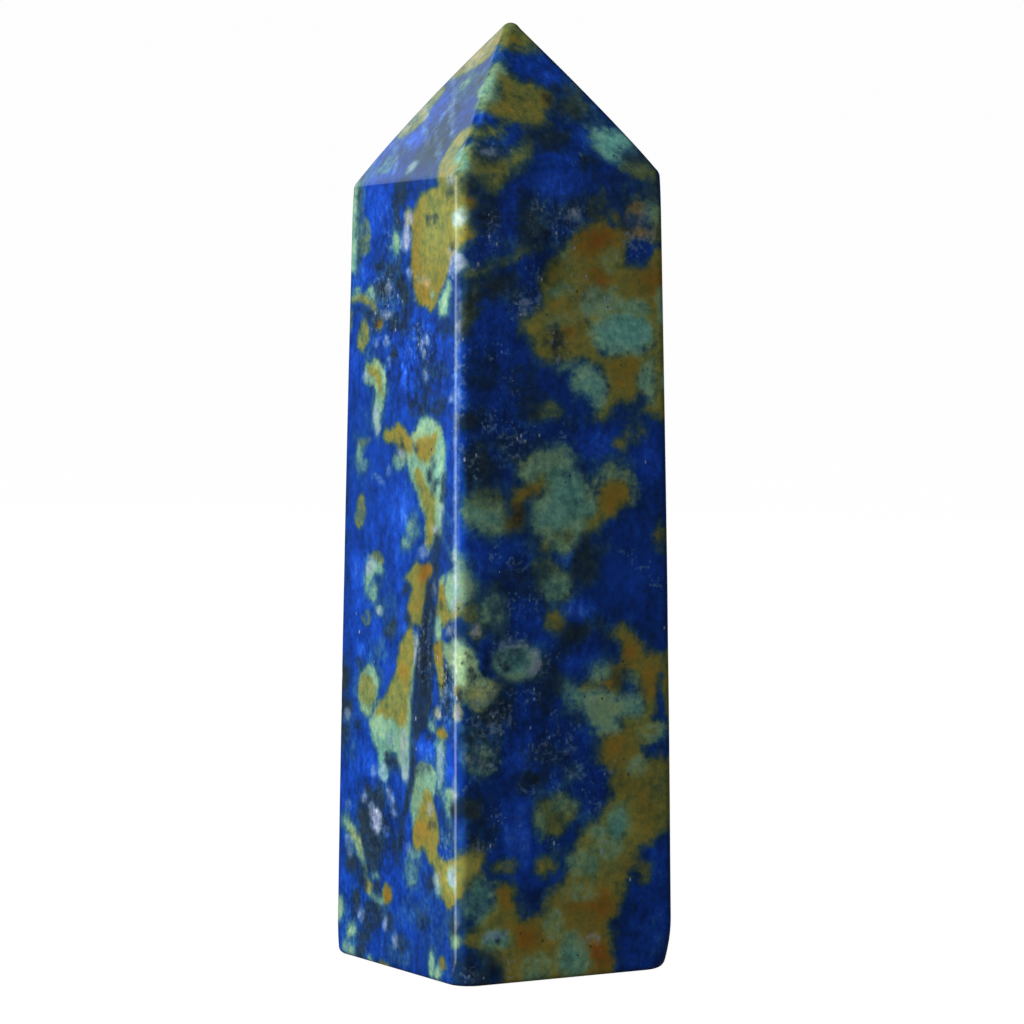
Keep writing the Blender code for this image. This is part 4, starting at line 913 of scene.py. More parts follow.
wash("warmth", "front",
    (0, 40, 14, 60, 0), (-1.6, 72.8, 3, 1.8, -0.15), (6, 69.2, 2.4, 1.6, -0.9), (0, 79.6, 2, 0.7, -0.7),
    (-0.4, 78.5, 0.9, 0.6, -0.05), (-1.6, 78.4, 0.5, 1, -0.6), (0.9, 78.2, 0.5, 0.8, -0.6),
    (-3.2, 74.2, 0.8, 1.2, 0.1), (-1, 73.6, 1.2, 1.4, -0.2), (0.6, 73, 0.6, 1, 0.35),
    (-6.5, 67.5, 4.5, 2.2, -0.8), (-6.3, 70.3, 1.8, 0.6, -0.4), (7.5, 67.1, 2.2, 1, -0.6),
    (-9.4, 61.8, 1.4, 1.4, -0.1), (-9, 64.3, 0.8, 0.7, 0.5), (-6, 59.6, 3, 1, -0.7),
    (3.2, 61.2, 2.2, 1.4, 0.8), (3.3, 58.1, 1.1, 0.8, 0.9), (7, 63.8, 1.2, 0.8, 0.7),
    (7.3, 61.7, 1.4, 0.6, 0.9), (8.4, 57.8, 1.6, 1.5, 0.5), (5.4, 50.4, 2.4, 1.6, 0.4),
    (2, 53.6, 1.3, 1.6, 0.35), (0.4, 53.8, 0.5, 0.4, 1), (-3.4, 54.4, 1.2, 1, -0.1),
    (-0.6, 56.6, 2.2, 1.4, -0.15), (6, 53.5, 3.4, 1.6, -0.9), (2.4, 49.2, 1.4, 1.8, -0.6),
    (8.6, 49.8, 1.4, 1.8, -0.5), (-1.7, 47.3, 1.5, 0.9, -0.3), (-0.4, 40, 3.2, 3.6, -0.7),
    (-1.4, 43.4, 1.9, 0.9, 0), (-4.7, 38.6, 0.9, 1.4, 0.8), (-3.6, 40.6, 1.6, 0.8, 0.45),
    (4.6, 39.6, 2, 1.4, 0.35), (-8, 39.5, 1.8, 1.8, -0.5), (9.3, 36.3, 0.9, 1.2, 0.5),
    (-1.5, 33.6, 2.4, 2, -0.6), (-5, 26.6, 2.6, 1.8, -0.7), (-3, 26.4, 0.8, 1.3, 0.1),
    (-5, 25.2, 1.4, 0.4, 0.1), (-8.4, 24.4, 1.8, 1.3, -0.7), (-1.2, 29.8, 1, 1, 0),
    (3.5, 22.2, 4.2, 1.6, -0.7), (6, 26.8, 1.2, 1.4, 0.45), (8.2, 24.5, 1, 2.2, 0.35),
    (4.4, 24.3, 1, 0.8, 0.45), (4.8, 18.8, 1.8, 1.6, 0.35), (8.6, 14.8, 1.8, 2.6, 0.35),
    (4.8, 12.4, 1.4, 1.8, -0.8), (2.2, 10.2, 2.2, 1.8, -0.55), (3.4, 5.6, 2, 1.4, 0.8),
    (3.1, 1.7, 1.4, 1.4, 0.95), (-4.2, 3.8, 1.8, 1.4, 0.7), (-6.3, 7.5, 1, 1.2, 0.5), (0.3, 6, 1, 0.9, 0.6),
    (0.2, 1.8, 1.4, 1.8, -0.7), (-3, 1, 1.4, 1, -0.4), (-7, 3.7, 1.5, 0.8, -0.8),
    (-9.4, 10, 1.4, 1.2, -0.1), (-9.8, 26.6, 1.6, 2, 0.4), (-8.4, 24.2, 2, 1.2, 0.8),
    (3.6, 22.2, 2.4, 1.4, 0.3), (9.1, 15, 1.2, 2, -0.5), (1.5, 4, 1.6, 1.4, 0.3),
    (-6.4, 67.2, 2, 1.2, -0.3), (-8.4, 7, 1.4, 1.6, -0.9), (-1.2, 13.6, 2, 1.8, -0.5))
# Light on the left face: besides the minerals' own lightness, the strip beside the near edge is painted
# lighter along most of its height as painted light from the lit edge, and the lighter and darker patches on
# its facet are a painted reflection of the studio
wash("light", "left",
    (6, 62.5, 2.4, 3, 0.3), (9.4, 63.2, 0.9, 0.9, 0.4), (7.4, 56.4, 0.9, 1.6, 0.7),
    (3.6, 45.6, 3, 1.4, 0.4), (7, 42.8, 0.9, 2.6, 0.6), (-3.4, 50.8, 1, 0.8, 0.3),
    (9.6, 32.4, 1.4, 1.4, 0.3), (9.6, 26.8, 1.6, 2.2, -0.6), (9.6, 52, 1, 4, 0.2), (9.4, 43, 1.2, 7, 0.3),
    (9.4, 18.5, 1.2, 2, 0.6), (9.4, 12, 1.4, 2, 0.3), (-1.2, 20, 2.6, 2, -0.35), (4.5, 27, 0.9, 6, -0.9),
    (-3.2, 20.6, 1.4, 1.2, 0.4), (3.4, 15.2, 1, 2.2, -0.5), (-2.5, 17, 0.9, 1, 0.3),
    (5.2, 19.3, 1.8, 1, 0.3), (9.4, 8.6, 1.2, 1.4, 0.6), (-9.2, 63, 1, 4, 0.2), (-4.4, 73, 1.4, 2.4, 0.6),
    (-0.6, 77.6, 1.2, 1.8, 0.3), (2, 69.6, 3, 2, -0.5), (4, 12.4, 2, 1, 0.3), (-6.5, 70, 2, 1.6, 0.3),
    (5.5, 69.4, 1.6, 1.4, 0.3), (4.4, 74, 1.2, 1.4, 0.3), (-2.2, 70.4, 1.6, 0.9, 0.4),
    (8, 68, 1.2, 0.8, 0.5))
# Light on the front: besides the minerals' own lightness, the strip beside the near edge is painted lighter
# in places and darker in others, as painted light and shade of that edge
wash("light", "front",
    (-10.2, 17, 0.8, 8, -0.5), (-10.2, 46, 0.8, 6, 0), (-2, 4.5, 5, 3.5, -0.2), (-9.8, 26.8, 1.4, 2, 1.15),
    (-10, 62.4, 1.2, 1.6, 0.8), (6, 53.5, 3, 1.6, 0.1), (-1.6, 58.8, 1.6, 2, -1), (8.4, 57.6, 2, 1.4, -0.3),
    (3, 60.6, 2.4, 1.6, -0.3), (0, 55.2, 2, 1, -0.4), (2.4, 56.4, 2, 1, -0.4), (9, 14.6, 1.4, 2.2, -0.5),
    (5, 15.6, 1.6, 1, -0.5), (-5.2, 26.6, 2, 1.2, -0.1), (-1.6, 13.6, 2, 1.6, -0.6),
    (-0.4, 40, 3, 3.4, -0.25), (-1.6, 43, 2, 1, -0.5), (-7.6, 39.4, 2, 1.6, -0.3),
    (-1.2, 33.4, 2, 1.6, -0.4), (-1.8, 72.8, 3, 1.8, -0.35), (-5.5, 68.4, 3, 2, -0.1),
    (6, 69.2, 2, 1.4, 0.7), (0.4, 65.8, 2.4, 1.2, 0.4), (-6.4, 67.2, 2, 1.2, -0.4),
    (-8.2, 24.2, 1.4, 1, 1.1), (1.6, 9, 2, 1.6, -0.3), (4.8, 12.6, 1, 1.6, 0), (-9.6, 9.8, 1.2, 1.2, 0.8),
    (6.4, 8.6, 1.4, 1, -0.4), (8.4, 67, 2, 0.8, -0.3), (-9.2, 64.2, 0.8, 0.6, 0.4),
    (-8.8, 7, 1.4, 1.6, -0.2), (-0.8, 78.8, 1.2, 1, -0.5), (-2.8, 26.6, 0.7, 1.4, 0.5))
wash("teal", "left",
    (-7.8, 66, 1.2, 0.9, 0.6), (-7.8, 62.4, 0.8, 3, 0.9), (-4.6, 64, 2, 2, -0.6),
    (-2.6, 63.2, 1.4, 1.2, 0.2), (4.4, 66, 1.6, 0.8, 0.4), (-1.6, 57.6, 3.8, 3.2, 0.65),
    (-6.8, 59.2, 1.8, 1.3, -0.4), (-6.6, 55.4, 2.6, 1, 0.2), (7.6, 56, 1.6, 1, 0.3),
    (6, 50.8, 2.4, 0.9, 0.35), (3.4, 55.4, 2, 0.6, -0.3), (1.6, 51.4, 2, 1.6, -0.6),
    (-5.6, 52.2, 1.2, 0.9, 0.5), (-4.2, 49, 2, 2.6, 0.35), (-4.6, 46.6, 1.2, 1.4, 0.5),
    (-7, 44, 1.6, 2.4, 0.45), (-0.4, 43.2, 1.2, 1, 0.6), (1.4, 40.8, 1.2, 1.6, 0.2),
    (2.4, 37.8, 1.4, 1.4, 1.1), (1, 36.2, 0.9, 0.7, 0.5), (-0.6, 39, 1.8, 1.8, -0.8),
    (7.8, 38, 1.4, 2, 0.45), (-6.4, 38.6, 1.2, 1.6, 0.2), (-4.4, 32.4, 2, 2.4, 0.4),
    (-1.2, 31, 1.2, 1.6, 0.4), (-1.2, 28.8, 1.6, 0.9, 0.9), (-3.4, 27, 1.8, 1.2, 0.6),
    (-3.6, 29, 1, 0.6, -0.6), (-5.4, 23.6, 2.4, 2.6, 0.6), (-3.4, 24.4, 1, 1, 0.6), (-9, 20, 1.4, 1.4, 0.8),
    (5.6, 24, 0.6, 2.6, 0.8), (8.8, 23.6, 1.6, 2.6, 0.9), (8.8, 26.2, 0.8, 1.4, 0.7),
    (6.4, 22, 0.8, 1, 0.2), (5.2, 19.3, 1.8, 1.1, -0.1), (7.6, 18.4, 0.9, 1.6, 0.5),
    (2.6, 22, 0.5, 3.4, 0.3), (-8.4, 18.4, 1.6, 2, 0.5), (-5.4, 16.6, 1.8, 1.2, -0.5),
    (-0.8, 17.2, 1.4, 0.8, 0.6), (-2.6, 14.4, 1.4, 1.2, 0.4), (-5, 11, 2, 3, 0.3),
    (9, 12.4, 1.6, 1.6, 0.75), (7.8, 15.8, 0.8, 1.4, 0.4), (-9.2, 11.6, 1.4, 1.2, 0.8),
    (-8.2, 9.6, 1.2, 1.1, 0.8), (-8.4, 6.4, 1.2, 0.9, -0.2), (4.2, 7.8, 2, 1.2, 0.3),
    (-8, 3.4, 1.8, 2.6, 0.5), (3, 9, 2, 1.2, 0.7), (4, 5.6, 3.4, 2, 0.45), (-2, 5, 2, 1.4, 0.5),
    (0.5, 1.8, 3, 1.8, 0.55), (7, 2.4, 2.4, 2, 0.5), (9.6, 5.4, 1, 1.6, 0.6), (-7, 68.6, 2, 1.4, 0.2),
    (-3.6, 69.6, 2, 1.6, 0.3), (1.8, 69.6, 2.4, 2.2, 0.8), (1.4, 74.4, 2.2, 1.8, 0.6),
    (-2, 70.4, 1.2, 0.7, -0.4), (-1.8, 73, 1.2, 1, -0.3), (4.4, 67.6, 1.4, 0.8, 0.6))
wash("teal", "front",
    (-2.8, 77, 1, 0.8, 0.5), (0.6, 77.4, 1.6, 0.5, 0.3), (-4.6, 69.2, 2, 1, 0.3), (-7.2, 68.6, 1.4, 0.8, 1),
    (-0.4, 70, 2, 1, 0.7), (2.6, 72.4, 2.2, 1.4, 1.2), (0.4, 68, 1.8, 0.7, -0.6), (7.6, 68, 1.4, 0.7, 1),
    (-9, 65.8, 1, 0.8, 0.4), (-6.6, 65.4, 1.4, 0.9, 0.6), (-7.2, 63.4, 1.1, 1.4, 0.5),
    (-2.8, 62.8, 1.6, 2, 0.9), (0.6, 63.6, 2, 1.2, 0.9), (3.4, 64.6, 1.4, 0.8, 0.7),
    (6, 65.4, 2, 0.9, 0.55), (9, 65.4, 1.2, 1.6, 1), (-3.4, 61, 3, 0.7, 0.7), (-8.6, 58.2, 1.4, 0.9, 0.9),
    (-6.4, 58, 2.4, 1, 0.8), (-9.4, 55.6, 1, 1.6, 1), (-5.2, 56.6, 1.4, 1, 0.6), (-4.2, 54.8, 1, 1, 0.4),
    (2, 52, 0.9, 1.6, 0.3), (-8.6, 47.4, 1.6, 1, 0.3), (-8.6, 43, 1.6, 2, 0.9), (-5.4, 43.8, 1.6, 1.8, 0.6),
    (-3, 46.4, 1.6, 1, 0.5), (0.6, 46.2, 1.4, 0.8, 0.4), (6.6, 46.6, 1.6, 1, 0.7),
    (5.6, 42.8, 1.8, 0.6, 0.4), (-6, 39.4, 3.4, 2.4, 0.6), (0, 40, 3.4, 3.6, 0.5),
    (-3.4, 36.4, 2, 1.2, 0.7), (3.6, 36, 1.6, 1.2, 0.5), (2, 34.2, 1.2, 1.8, 1), (-1.8, 33.6, 2, 1.8, 0.7),
    (0.2, 31.8, 1.2, 0.6, 0.4), (-8.4, 31.4, 2, 2.2, 1), (-6.8, 29.8, 1, 1.4, 0.9),
    (-1.2, 29.9, 1.4, 1.2, 0.5), (0.9, 28.6, 1.3, 0.9, 1), (-4.8, 26.8, 2.8, 2, 0.7),
    (2.8, 29.4, 1.4, 1.2, 0.4), (4, 27.4, 0.9, 1.6, 0.5), (-7.6, 22.6, 2.2, 2, 0.8),
    (-9.4, 20.4, 1.4, 1.4, 1.1), (-8.4, 18.8, 1.6, 1.4, 1), (-0.6, 24.4, 1.4, 1, 0.6),
    (0.4, 21.6, 1.4, 1.2, 0.4), (2.8, 18.4, 1, 1.2, 0.7), (0.4, 17.2, 1.2, 1, 0.8),
    (-3.6, 16.6, 1.4, 0.9, 0.8), (4.8, 16, 1.4, 1, 0.8), (-1.6, 13.8, 2.4, 1.9, 0.7),
    (1.6, 12.8, 1, 1.2, 0.4), (-9.4, 14.4, 1.2, 1, 0.8), (-8.2, 12.4, 1.2, 1, 0.5), (-9, 7.4, 1.8, 2, 0.8),
    (-1.4, 10.6, 1, 0.8, 0.5), (-4, 6.8, 1.2, 1, 0.4), (-8.4, 1, 2.6, 1.8, 0.5), (6.8, 8.4, 1.4, 1.2, 0.6),
    (8.6, 3, 1.6, 2.4, 0.1), (-4.6, 12.6, 1.4, 3, -0.7))
wash("mottling", "left",
    (0, 72.5, 8, 5, 0.9), (2, 52, 6, 4, 1.4), (-3, 12, 4, 4, 1.3), (-1.5, 58, 3.4, 3, 1.4),
    (-6, 3, 4, 3, 1.2), (-6, 44, 3.6, 6, 0.4), (-6, 32, 3, 4, 0.6), (8.6, 24, 2, 3, 1.6),
    (5.5, 24, 1, 4, 1.4))
wash("mottling", "front",
    (-6, 45, 4, 3, 0.9), (-7, 21, 4, 3, 1.1), (0, 62.6, 4, 2, 0.9), (-9, 26, 1.6, 2.4, 1.3),
    (6, 33.6, 3, 2.4, 0.3))

# The value that each face has where no wash reaches
GROUNDS = {
    "tone": {"left": 0.2, "front": -0.1, "right": 0.0, "back": 0.05},
    "warmth": {"left": 0.0, "front": 0.05, "right": 0.0, "back": 0.0},
    # The front's ground light of -0.1 is painted shade that darkens the whole front face
    "light": {"left": 0.0, "front": -0.1, "right": 0.0, "back": 0.0},
    "teal": {"left": -0.4, "front": -0.4, "right": -0.3, "back": -0.3},
    "mottling": {"left": 0.65, "front": 0.65, "right": 0.7, "back": 0.7},
}


def stone_fields(stone):
    """Every field that the stone's material reads, one value for each point of the grid."""
    sheet = Sheet(stone)
    fields = sheet.paint(COATS)
    for name, grounds in GROUNDS.items():
        fields[name] = sheet.wash(grounds, WASHES[name])
    return fields


def hand_cut(x, y, z):
    """The points moved as the real stone leans: nothing at the base, most at the shoulder and tip."""
    low = np.clip(z / SHOULDER_HEIGHT, 0, 1)
    high = np.clip((z - SHOULDER_HEIGHT) / (SHARP_HEIGHT - SHOULDER_HEIGHT), 0, 1)
    rise = (SHOULDER_SLOPE[0] * x + SHOULDER_SLOPE[1] * y) * np.minimum(low, 1 - high)
    return (x + SHOULDER_SHIFT[0] * low + TIP_SHIFT[0] * high,
            y + SHOULDER_SHIFT[1] * low + TIP_SHIFT[1] * high, z + rise)


def make_stone():
    """The stone's mesh: the grid of points, drawn in a little by polishing waves and the black seam."""
    stone = Stone()
    fields = stone_fields(stone)
    wave = WAVE_DEPTH * (1 + lattice_noise(stone, WAVE_SIZE, 41))
    groove = SEAM_DEPTH * smooth_step(fields["black"], *SEAM_EDGE)
    calm = smooth_step(stone.z, *CALM_BASE), smooth_step(HEIGHT - stone.z, *CALM_TIP)
    drawn_in = (wave + groove) * calm[0] * calm[1]
    x, y, z = hand_cut(stone.x - stone.out_x * drawn_in, stone.y - stone.out_y * drawn_in, stone.z)

    rows, columns = z.shape
    grid = np.stack([x, y, z], -1).reshape(-1, 3)
    tip = np.array(hand_cut(0.0, 0.0, HEIGHT))
    points = np.vstack([grid, [0, 0, 0], tip]) * MM
    number = np.arange(rows * columns).reshape(rows, columns)
    following = np.roll(number, -1, axis=1)
    quads = np.stack([number[:-1], following[:-1], following[1:], number[1:]], -1).reshape(-1, 4)
    base_fan = np.c_[np.full(columns, len(grid)), following[0], number[0]]
    tip_fan = np.c_[np.full(columns, len(grid) + 1), number[-1], following[-1]]

    mesh = bpy.data.meshes.new("obelisk_stone")
    mesh.from_pydata(points.tolist(), [], quads.tolist() + base_fan.tolist() + tip_fan.tolist())
    mesh.update()
    mesh.shade_smooth()
    for name, field in fields.items():
        values = np.r_[field.ravel(), field[0].mean(), field[-1].mean()]
        attribute = mesh.attributes.new(name, "FLOAT", "POINT")
        attribute.data.foreach_set("value", values.astype(np.float32))
    mesh.validate()
    piece = bpy.data.objects.new("obelisk_stone", mesh)
    bpy.context.scene.collection.objects.link(piece)
    return piece


# Materials

class Wiring:
    """Short calls that add shader nodes to a tree and join them."""

    def __init__(self, tree):
        self.tree = tree

    def feed(self, socket, value):
        if isinstance(value, bpy.types.NodeSocket):
            self.tree.links.new(value, socket)
        else:
            socket.default_value = value

    def add(self, kind, inputs=(), **settings):
        node = self.tree.nodes.new(kind)
        for name, value in settings.items():
            setattr(node, name, value)
        for name, value in dict(inputs).items():
            self.feed(node.inputs[name], value)
        return node

    def math(self, operation, *values):
        node = self.add("ShaderNodeMath", operation=operation)
        for socket, value in zip(node.inputs, values):
            self.feed(socket, value)
        return node.outputs[0]

    def field(self, name):
        return self.add("ShaderNodeAttribute", attribute_name=name).outputs["Fac"]

    def noise(self, place, scale, detail=2.0, roughness=0.5):
        """Noise spread over about -1 to 1."""
        node = self.add("ShaderNodeTexNoise", {"Vector": place, "Scale": scale, "Detail": detail,
                                               "Roughness": roughness})
        return self.math("MULTIPLY_ADD", node.outputs["Fac"], 4.0, -2.0)

    def stretch(self, place, *scale):
        return self.add("ShaderNodeMapping", {"Vector": place, "Scale": scale}).outputs[0]

    def step(self, value, low, high):
        node = self.add("ShaderNodeMapRange", {"Value": value, "From Min": low, "From Max": high},
                        interpolation_type="SMOOTHSTEP")
        return node.outputs[0]

    def ramp(self, value, *stops):
        node = self.add("ShaderNodeValToRGB", {"Fac": value})
        elements = node.color_ramp.elements
        while len(elements) < len(stops):
            elements.new(0.5)
        for element, (place, colour) in zip(elements, stops):
            element.position = place
            element.color = (*colour, 1.0)
        return node.outputs["Color"]

    def blend(self, share, below, above, mode="MIX"):
        node = self.add("ShaderNodeMix", data_type="RGBA", blend_type=mode)
        for socket, value in (("Factor", share), (6, below), (7, above)):
            self.feed(node.inputs[socket], value)
        return node.outputs[2]

    def bent(self, colour, power):
        """A colour raised to a power, so that mixing it acts more like mixing pigments."""
        return self.add("ShaderNodeGamma", {"Color": colour, "Gamma": power}).outputs[0]

    def use(self, group, *values):
        node = self.add("ShaderNodeGroup", node_tree=group)
        for socket, value in zip(node.inputs, values):
            self.feed(socket, value)
        return node.outputs[0]


def new_group(name, inputs, output):
    """A node group that starts with a place and numbers and ends with one output."""
    group = bpy.data.node_groups.new(name, "ShaderNodeTree")
    group.interface.new_socket("Place", in_out="INPUT", socket_type="NodeSocketVector")
    for label in inputs:
        group.interface.new_socket(label, in_out="INPUT", socket_type="NodeSocketFloat")
    group.interface.new_socket(output, in_out="OUTPUT", socket_type="NodeSocketFloat")
    given, result = group.nodes.new("NodeGroupInput"), group.nodes.new("NodeGroupOutput")
    return group, Wiring(group), given.outputs, result.inputs[0]


# Noise scales are in cycles to the millimetre
TEARS = ((0.85, 0.50), (2.1, 0.34), (6.0, 0.09))        # scale and strength of clouds, spots and grain
MOTTLES = (("Clouds", 0.28), ("Blots", 0.8), ("Spots", 2.0), ("Grain", 5.0))
DUST_EDGE = (0.30, 1.30)
DUST_CLUSTERS = (0.3, 0.35)                             # scale against the specks, and strength
DOT_SIZES = (0.30, 0.16)                                # spread and smallest, in cells
DOT_CORE = 0.35


def ragged_group():
    """Turns a depth into a mask whose edge is torn by clouds, spots and grain."""
    group, wires, given, result = new_group("ragged edge", ("Depth", "Tear", "Spread"), "Mask")
    torn = given["Depth"]
    for scale, strength in TEARS:
        size = wires.math("MULTIPLY", given["Tear"], strength)
        torn = wires.math("MULTIPLY_ADD", wires.noise(given["Place"], scale, 2.0, 0.6), size, torn)
    low = wires.math("MULTIPLY", given["Spread"], -1.0)
    wires.feed(result, wires.step(torn, low, given["Spread"]))
    return group


def mottle_group():
    """Uneven colouring about zero: clouds, blots, spots and grain."""
    group, wires, given, result = new_group("mottle", dict(MOTTLES), "Value")
    total = 0.0
    for name, scale in MOTTLES:
        marks = wires.noise(given["Place"], scale, 1.5, 0.55)
        total = wires.math("MULTIPLY_ADD", marks, given[name], total)
    wires.feed(result, total)
    return group


def dust_group():
    """Faint dust: soft specks of several sizes that crowd together where the level is high."""
    group, wires, given, result = new_group("dust", ("Scale", "Level"), "Mask")
    specks = wires.noise(given["Place"], given["Scale"], 1.5, 0.6)
    cluster_scale = wires.math("MULTIPLY", given["Scale"], DUST_CLUSTERS[0])
    clusters = wires.noise(given["Place"], cluster_scale, 1.0, 0.5)
    specks = wires.math("ADD", specks, given["Level"])
    total = wires.math("MULTIPLY_ADD", clusters, DUST_CLUSTERS[1], specks)
    wires.feed(result, wires.step(total, *DUST_EDGE))
    return group


def dots_group():
    """Scattered small dots: the cells of a random scatter that the density picks, each a round spot."""
    group, wires, given, result = new_group("dots", ("Scale", "Density"), "Mask")
    cells = wires.add("ShaderNodeTexVoronoi", {"Vector": given["Place"], "Scale": given["Scale"]})
    parts = wires.add("ShaderNodeSeparateColor", {"Color": cells.outputs["Color"]}).outputs
    size = wires.math("MULTIPLY_ADD", parts[1], *DOT_SIZES)
    round_dot = wires.step(cells.outputs["Distance"], size, wires.math("MULTIPLY", size, DOT_CORE))
    picked = wires.math("LESS_THAN", parts[0], given["Density"])
    wires.feed(result, wires.math("MULTIPLY", round_dot, picked))
    return group


PIGMENT = 0.25                                  # the power that colours are mixed at

BLUE_STOPS = (
    (0.00, (0.0060, 0.0130, 0.0200)),
    (0.20, (0.0030, 0.0140, 0.0460)),
    (0.40, (0.0018, 0.0190, 0.1130)),
    (0.58, (0.0020, 0.0260, 0.1950)),
    (0.76, (0.0036, 0.0390, 0.2950)),
    (0.90, (0.0100, 0.0600, 0.3700)),
    (1.00, (0.0260, 0.1050, 0.4000)),
)
TEAL_STOPS = (
    (0.00, (0.0110, 0.0190, 0.0190)),
    (0.25, (0.0130, 0.0300, 0.0420)),
    (0.50, (0.0150, 0.0500, 0.0950)),
    (0.75, (0.0190, 0.0800, 0.1800)),
    (1.00, (0.0500, 0.1600, 0.3000)),
)
OCHRE_STOPS = (
    (0.00, (0.070, 0.108, 0.052)),
    (0.28, (0.118, 0.142, 0.040)),
    (0.50, (0.140, 0.135, 0.029)),
    (0.74, (0.158, 0.108, 0.016)),
    (1.00, (0.155, 0.062, 0.008)),
)
MINT_STOPS = (
    (0.00, (0.070, 0.215, 0.190)),
    (0.28, (0.098, 0.235, 0.185)),
    (0.50, (0.130, 0.240, 0.155)),
    (1.00, (0.130, 0.170, 0.070)),
)
BLACK_STOPS = (
    (0.0, (0.0040, 0.0120, 0.0330)),
    (0.5, (0.0085, 0.0190, 0.0300)),
    (1.0, (0.0110, 0.0110, 0.0090)),
)
PALE_STOPS = (
    (0.0, (0.140, 0.220, 0.340)),
    (0.5, (0.220, 0.250, 0.360)),
    (1.0, (0.320, 0.300, 0.290)),
)
FLECK = (0.17, 0.19, 0.26, 1.0)
PEPPER = (0.010, 0.014, 0.018, 1.0)

# Minerals laid over the blue, with how torn and how wide their edges are
OVERLAYS = (
    ("ochre", OCHRE_STOPS, 0.9, 1.0),
    ("mint", MINT_STOPS, 1.0, 1.0),
    ("black", BLACK_STOPS, 1.2, 1.2),
    ("pale", PALE_STOPS, 0.8, 1.2),
)

# Strengths of clouds, blots, spots and grain
BLUE_MOTTLE = (0.06, 0.18, 0.17, 0.06)
TEAL_MOTTLE = (0.20, 0.45, 0.30, 0.05)
WARM_MOTTLE = (0.10, 0.17, 0.11, 0.05)
SHADE_MOTTLE = (0.02, 0.08, 0.09, 0.05)

# How strongly a field acts, and the level it acts about
TONE_ACTION = (0.40, 0.50)
WARMTH_ACTION = (0.50, 0.50)
LIGHT_ACTION = (0.16, 1.0)
DUST_ACTION = (0.45, 0.45)
FLECK_ACTION = (0.35, 0.007)

TEAL_EDGE = (-0.2, 1.4)
HALO_EDGE = (-2.6, -0.2)                        # depths in mint where the blue round it turns teal
HALO = 0.7
DUST_SCALE = 2.6
HAZE = 0.5
DOT_SCALE = 2.8
PEPPER_DENSITY = 0.025
PEPPER_STRENGTH = 0.7
ROUGHNESS_ACTION = (0.04, 0.17)
POLISH_SCALE = 1.3
RELIEF_SCALE = 3.2
RELIEF_DEPTH = 0.000008                         # in metres
RELIEF_STRENGTH = 0.2


def stone_material():
    """Polished stone: mottled blue, then ochre, mint, black and pale minerals laid over it."""
    material = bpy.data.materials.new("lapis")
    material.use_nodes = True
    tree = material.node_tree
    wires = Wiring(tree)
    shader = tree.nodes["Principled BSDF"]
    ragged, mottle, dust, dots = ragged_group(), mottle_group(), dust_group(), dots_group()

    here = wires.add("ShaderNodeTexCoord").outputs["Object"]
    place = wires.stretch(here, 1 / MM, 1 / MM, 1 / MM)
    upright = wires.stretch(here, 1 / MM, 1 / MM, 0.55 / MM)

    mottling = wires.field("mottling")
    blue_level = wires.math("MULTIPLY_ADD", wires.field("tone"), *TONE_ACTION)
    unevenness = wires.use(mottle, upright, *BLUE_MOTTLE)
    blue_level = wires.math("MULTIPLY_ADD", unevenness, mottling, blue_level)
    blue = wires.bent(wires.ramp(blue_level, *BLUE_STOPS), PIGMENT)
    teal = wires.bent(wires.ramp(blue_level, *TEAL_STOPS), PIGMENT)
    teal_level = wires.math("ADD", wires.field("teal"), wires.use(mottle, place, *TEAL_MOTTLE))
    halo = wires.math("MULTIPLY", wires.step(wires.field("mint"), *HALO_EDGE), HALO)
    teal_level = wires.math("ADD", teal_level, halo)
    colour = wires.blend(wires.step(teal_level, *TEAL_EDGE), blue, teal)

    warm_level = wires.math("MULTIPLY_ADD", wires.field("warmth"), *WARMTH_ACTION)
    warm_level = wires.math("ADD", warm_level, wires.use(mottle, place, *WARM_MOTTLE))
    for name, stops, tear, spread in OVERLAYS:
        mineral = wires.bent(wires.ramp(warm_level, *stops), PIGMENT)
        cover = wires.use(ragged, place, wires.field(name), tear, spread)
        colour = wires.blend(cover, colour, mineral)

    # The light field darkens and lightens the colour: painted light and shade along the near edge, on the
    # left facet and over the front, with the minerals' own lightness and a fine grain
    shading = wires.math("MULTIPLY_ADD", wires.field("light"), *LIGHT_ACTION)
    grain = wires.use(mottle, place, *SHADE_MOTTLE)
    shading = wires.math("MULTIPLY_ADD", grain, mottling, shading)
    colour = wires.blend(1.0, colour, shading, "MULTIPLY")

    dust_level = wires.math("MULTIPLY_ADD", wires.field("speckle"), *DUST_ACTION)
    haze = wires.math("MULTIPLY", wires.use(dust, place, DUST_SCALE, dust_level), HAZE)
    colour = wires.blend(haze, colour, wires.bent(FLECK, PIGMENT))
    density = wires.math("MULTIPLY_ADD", wires.step(wires.field("speckle"), -1.0, 1.0), *FLECK_ACTION)
    flecks = wires.use(dots, upright, DOT_SCALE, density)
    colour = wires.blend(flecks, colour, wires.bent(FLECK, PIGMENT))
    squashed = wires.stretch(here, 0.84 / MM, 1 / MM, 0.72 / MM)
    pepper = wires.use(dots, squashed, DOT_SCALE, PEPPER_DENSITY)
    pepper = wires.math("MULTIPLY", pepper, PEPPER_STRENGTH)
    colour = wires.blend(pepper, colour, wires.bent(PEPPER, PIGMENT))
    wires.feed(shader.inputs["Base Color"], wires.bent(colour, 1 / PIGMENT))

    polish = wires.noise(place, POLISH_SCALE, 4.0, 0.6)
    wires.feed(shader.inputs["Roughness"], wires.math("MULTIPLY_ADD", polish, *ROUGHNESS_ACTION))
    relief = wires.noise(place, RELIEF_SCALE, 4.0, 0.65)
    bump = wires.add("ShaderNodeBump", {"Height": relief, "Strength": RELIEF_STRENGTH,
                                        "Distance": RELIEF_DEPTH})
    wires.feed(shader.inputs["Normal"], bump.outputs[0])
    shader.inputs["IOR"].default_value = 1.5
    return material


# Studio

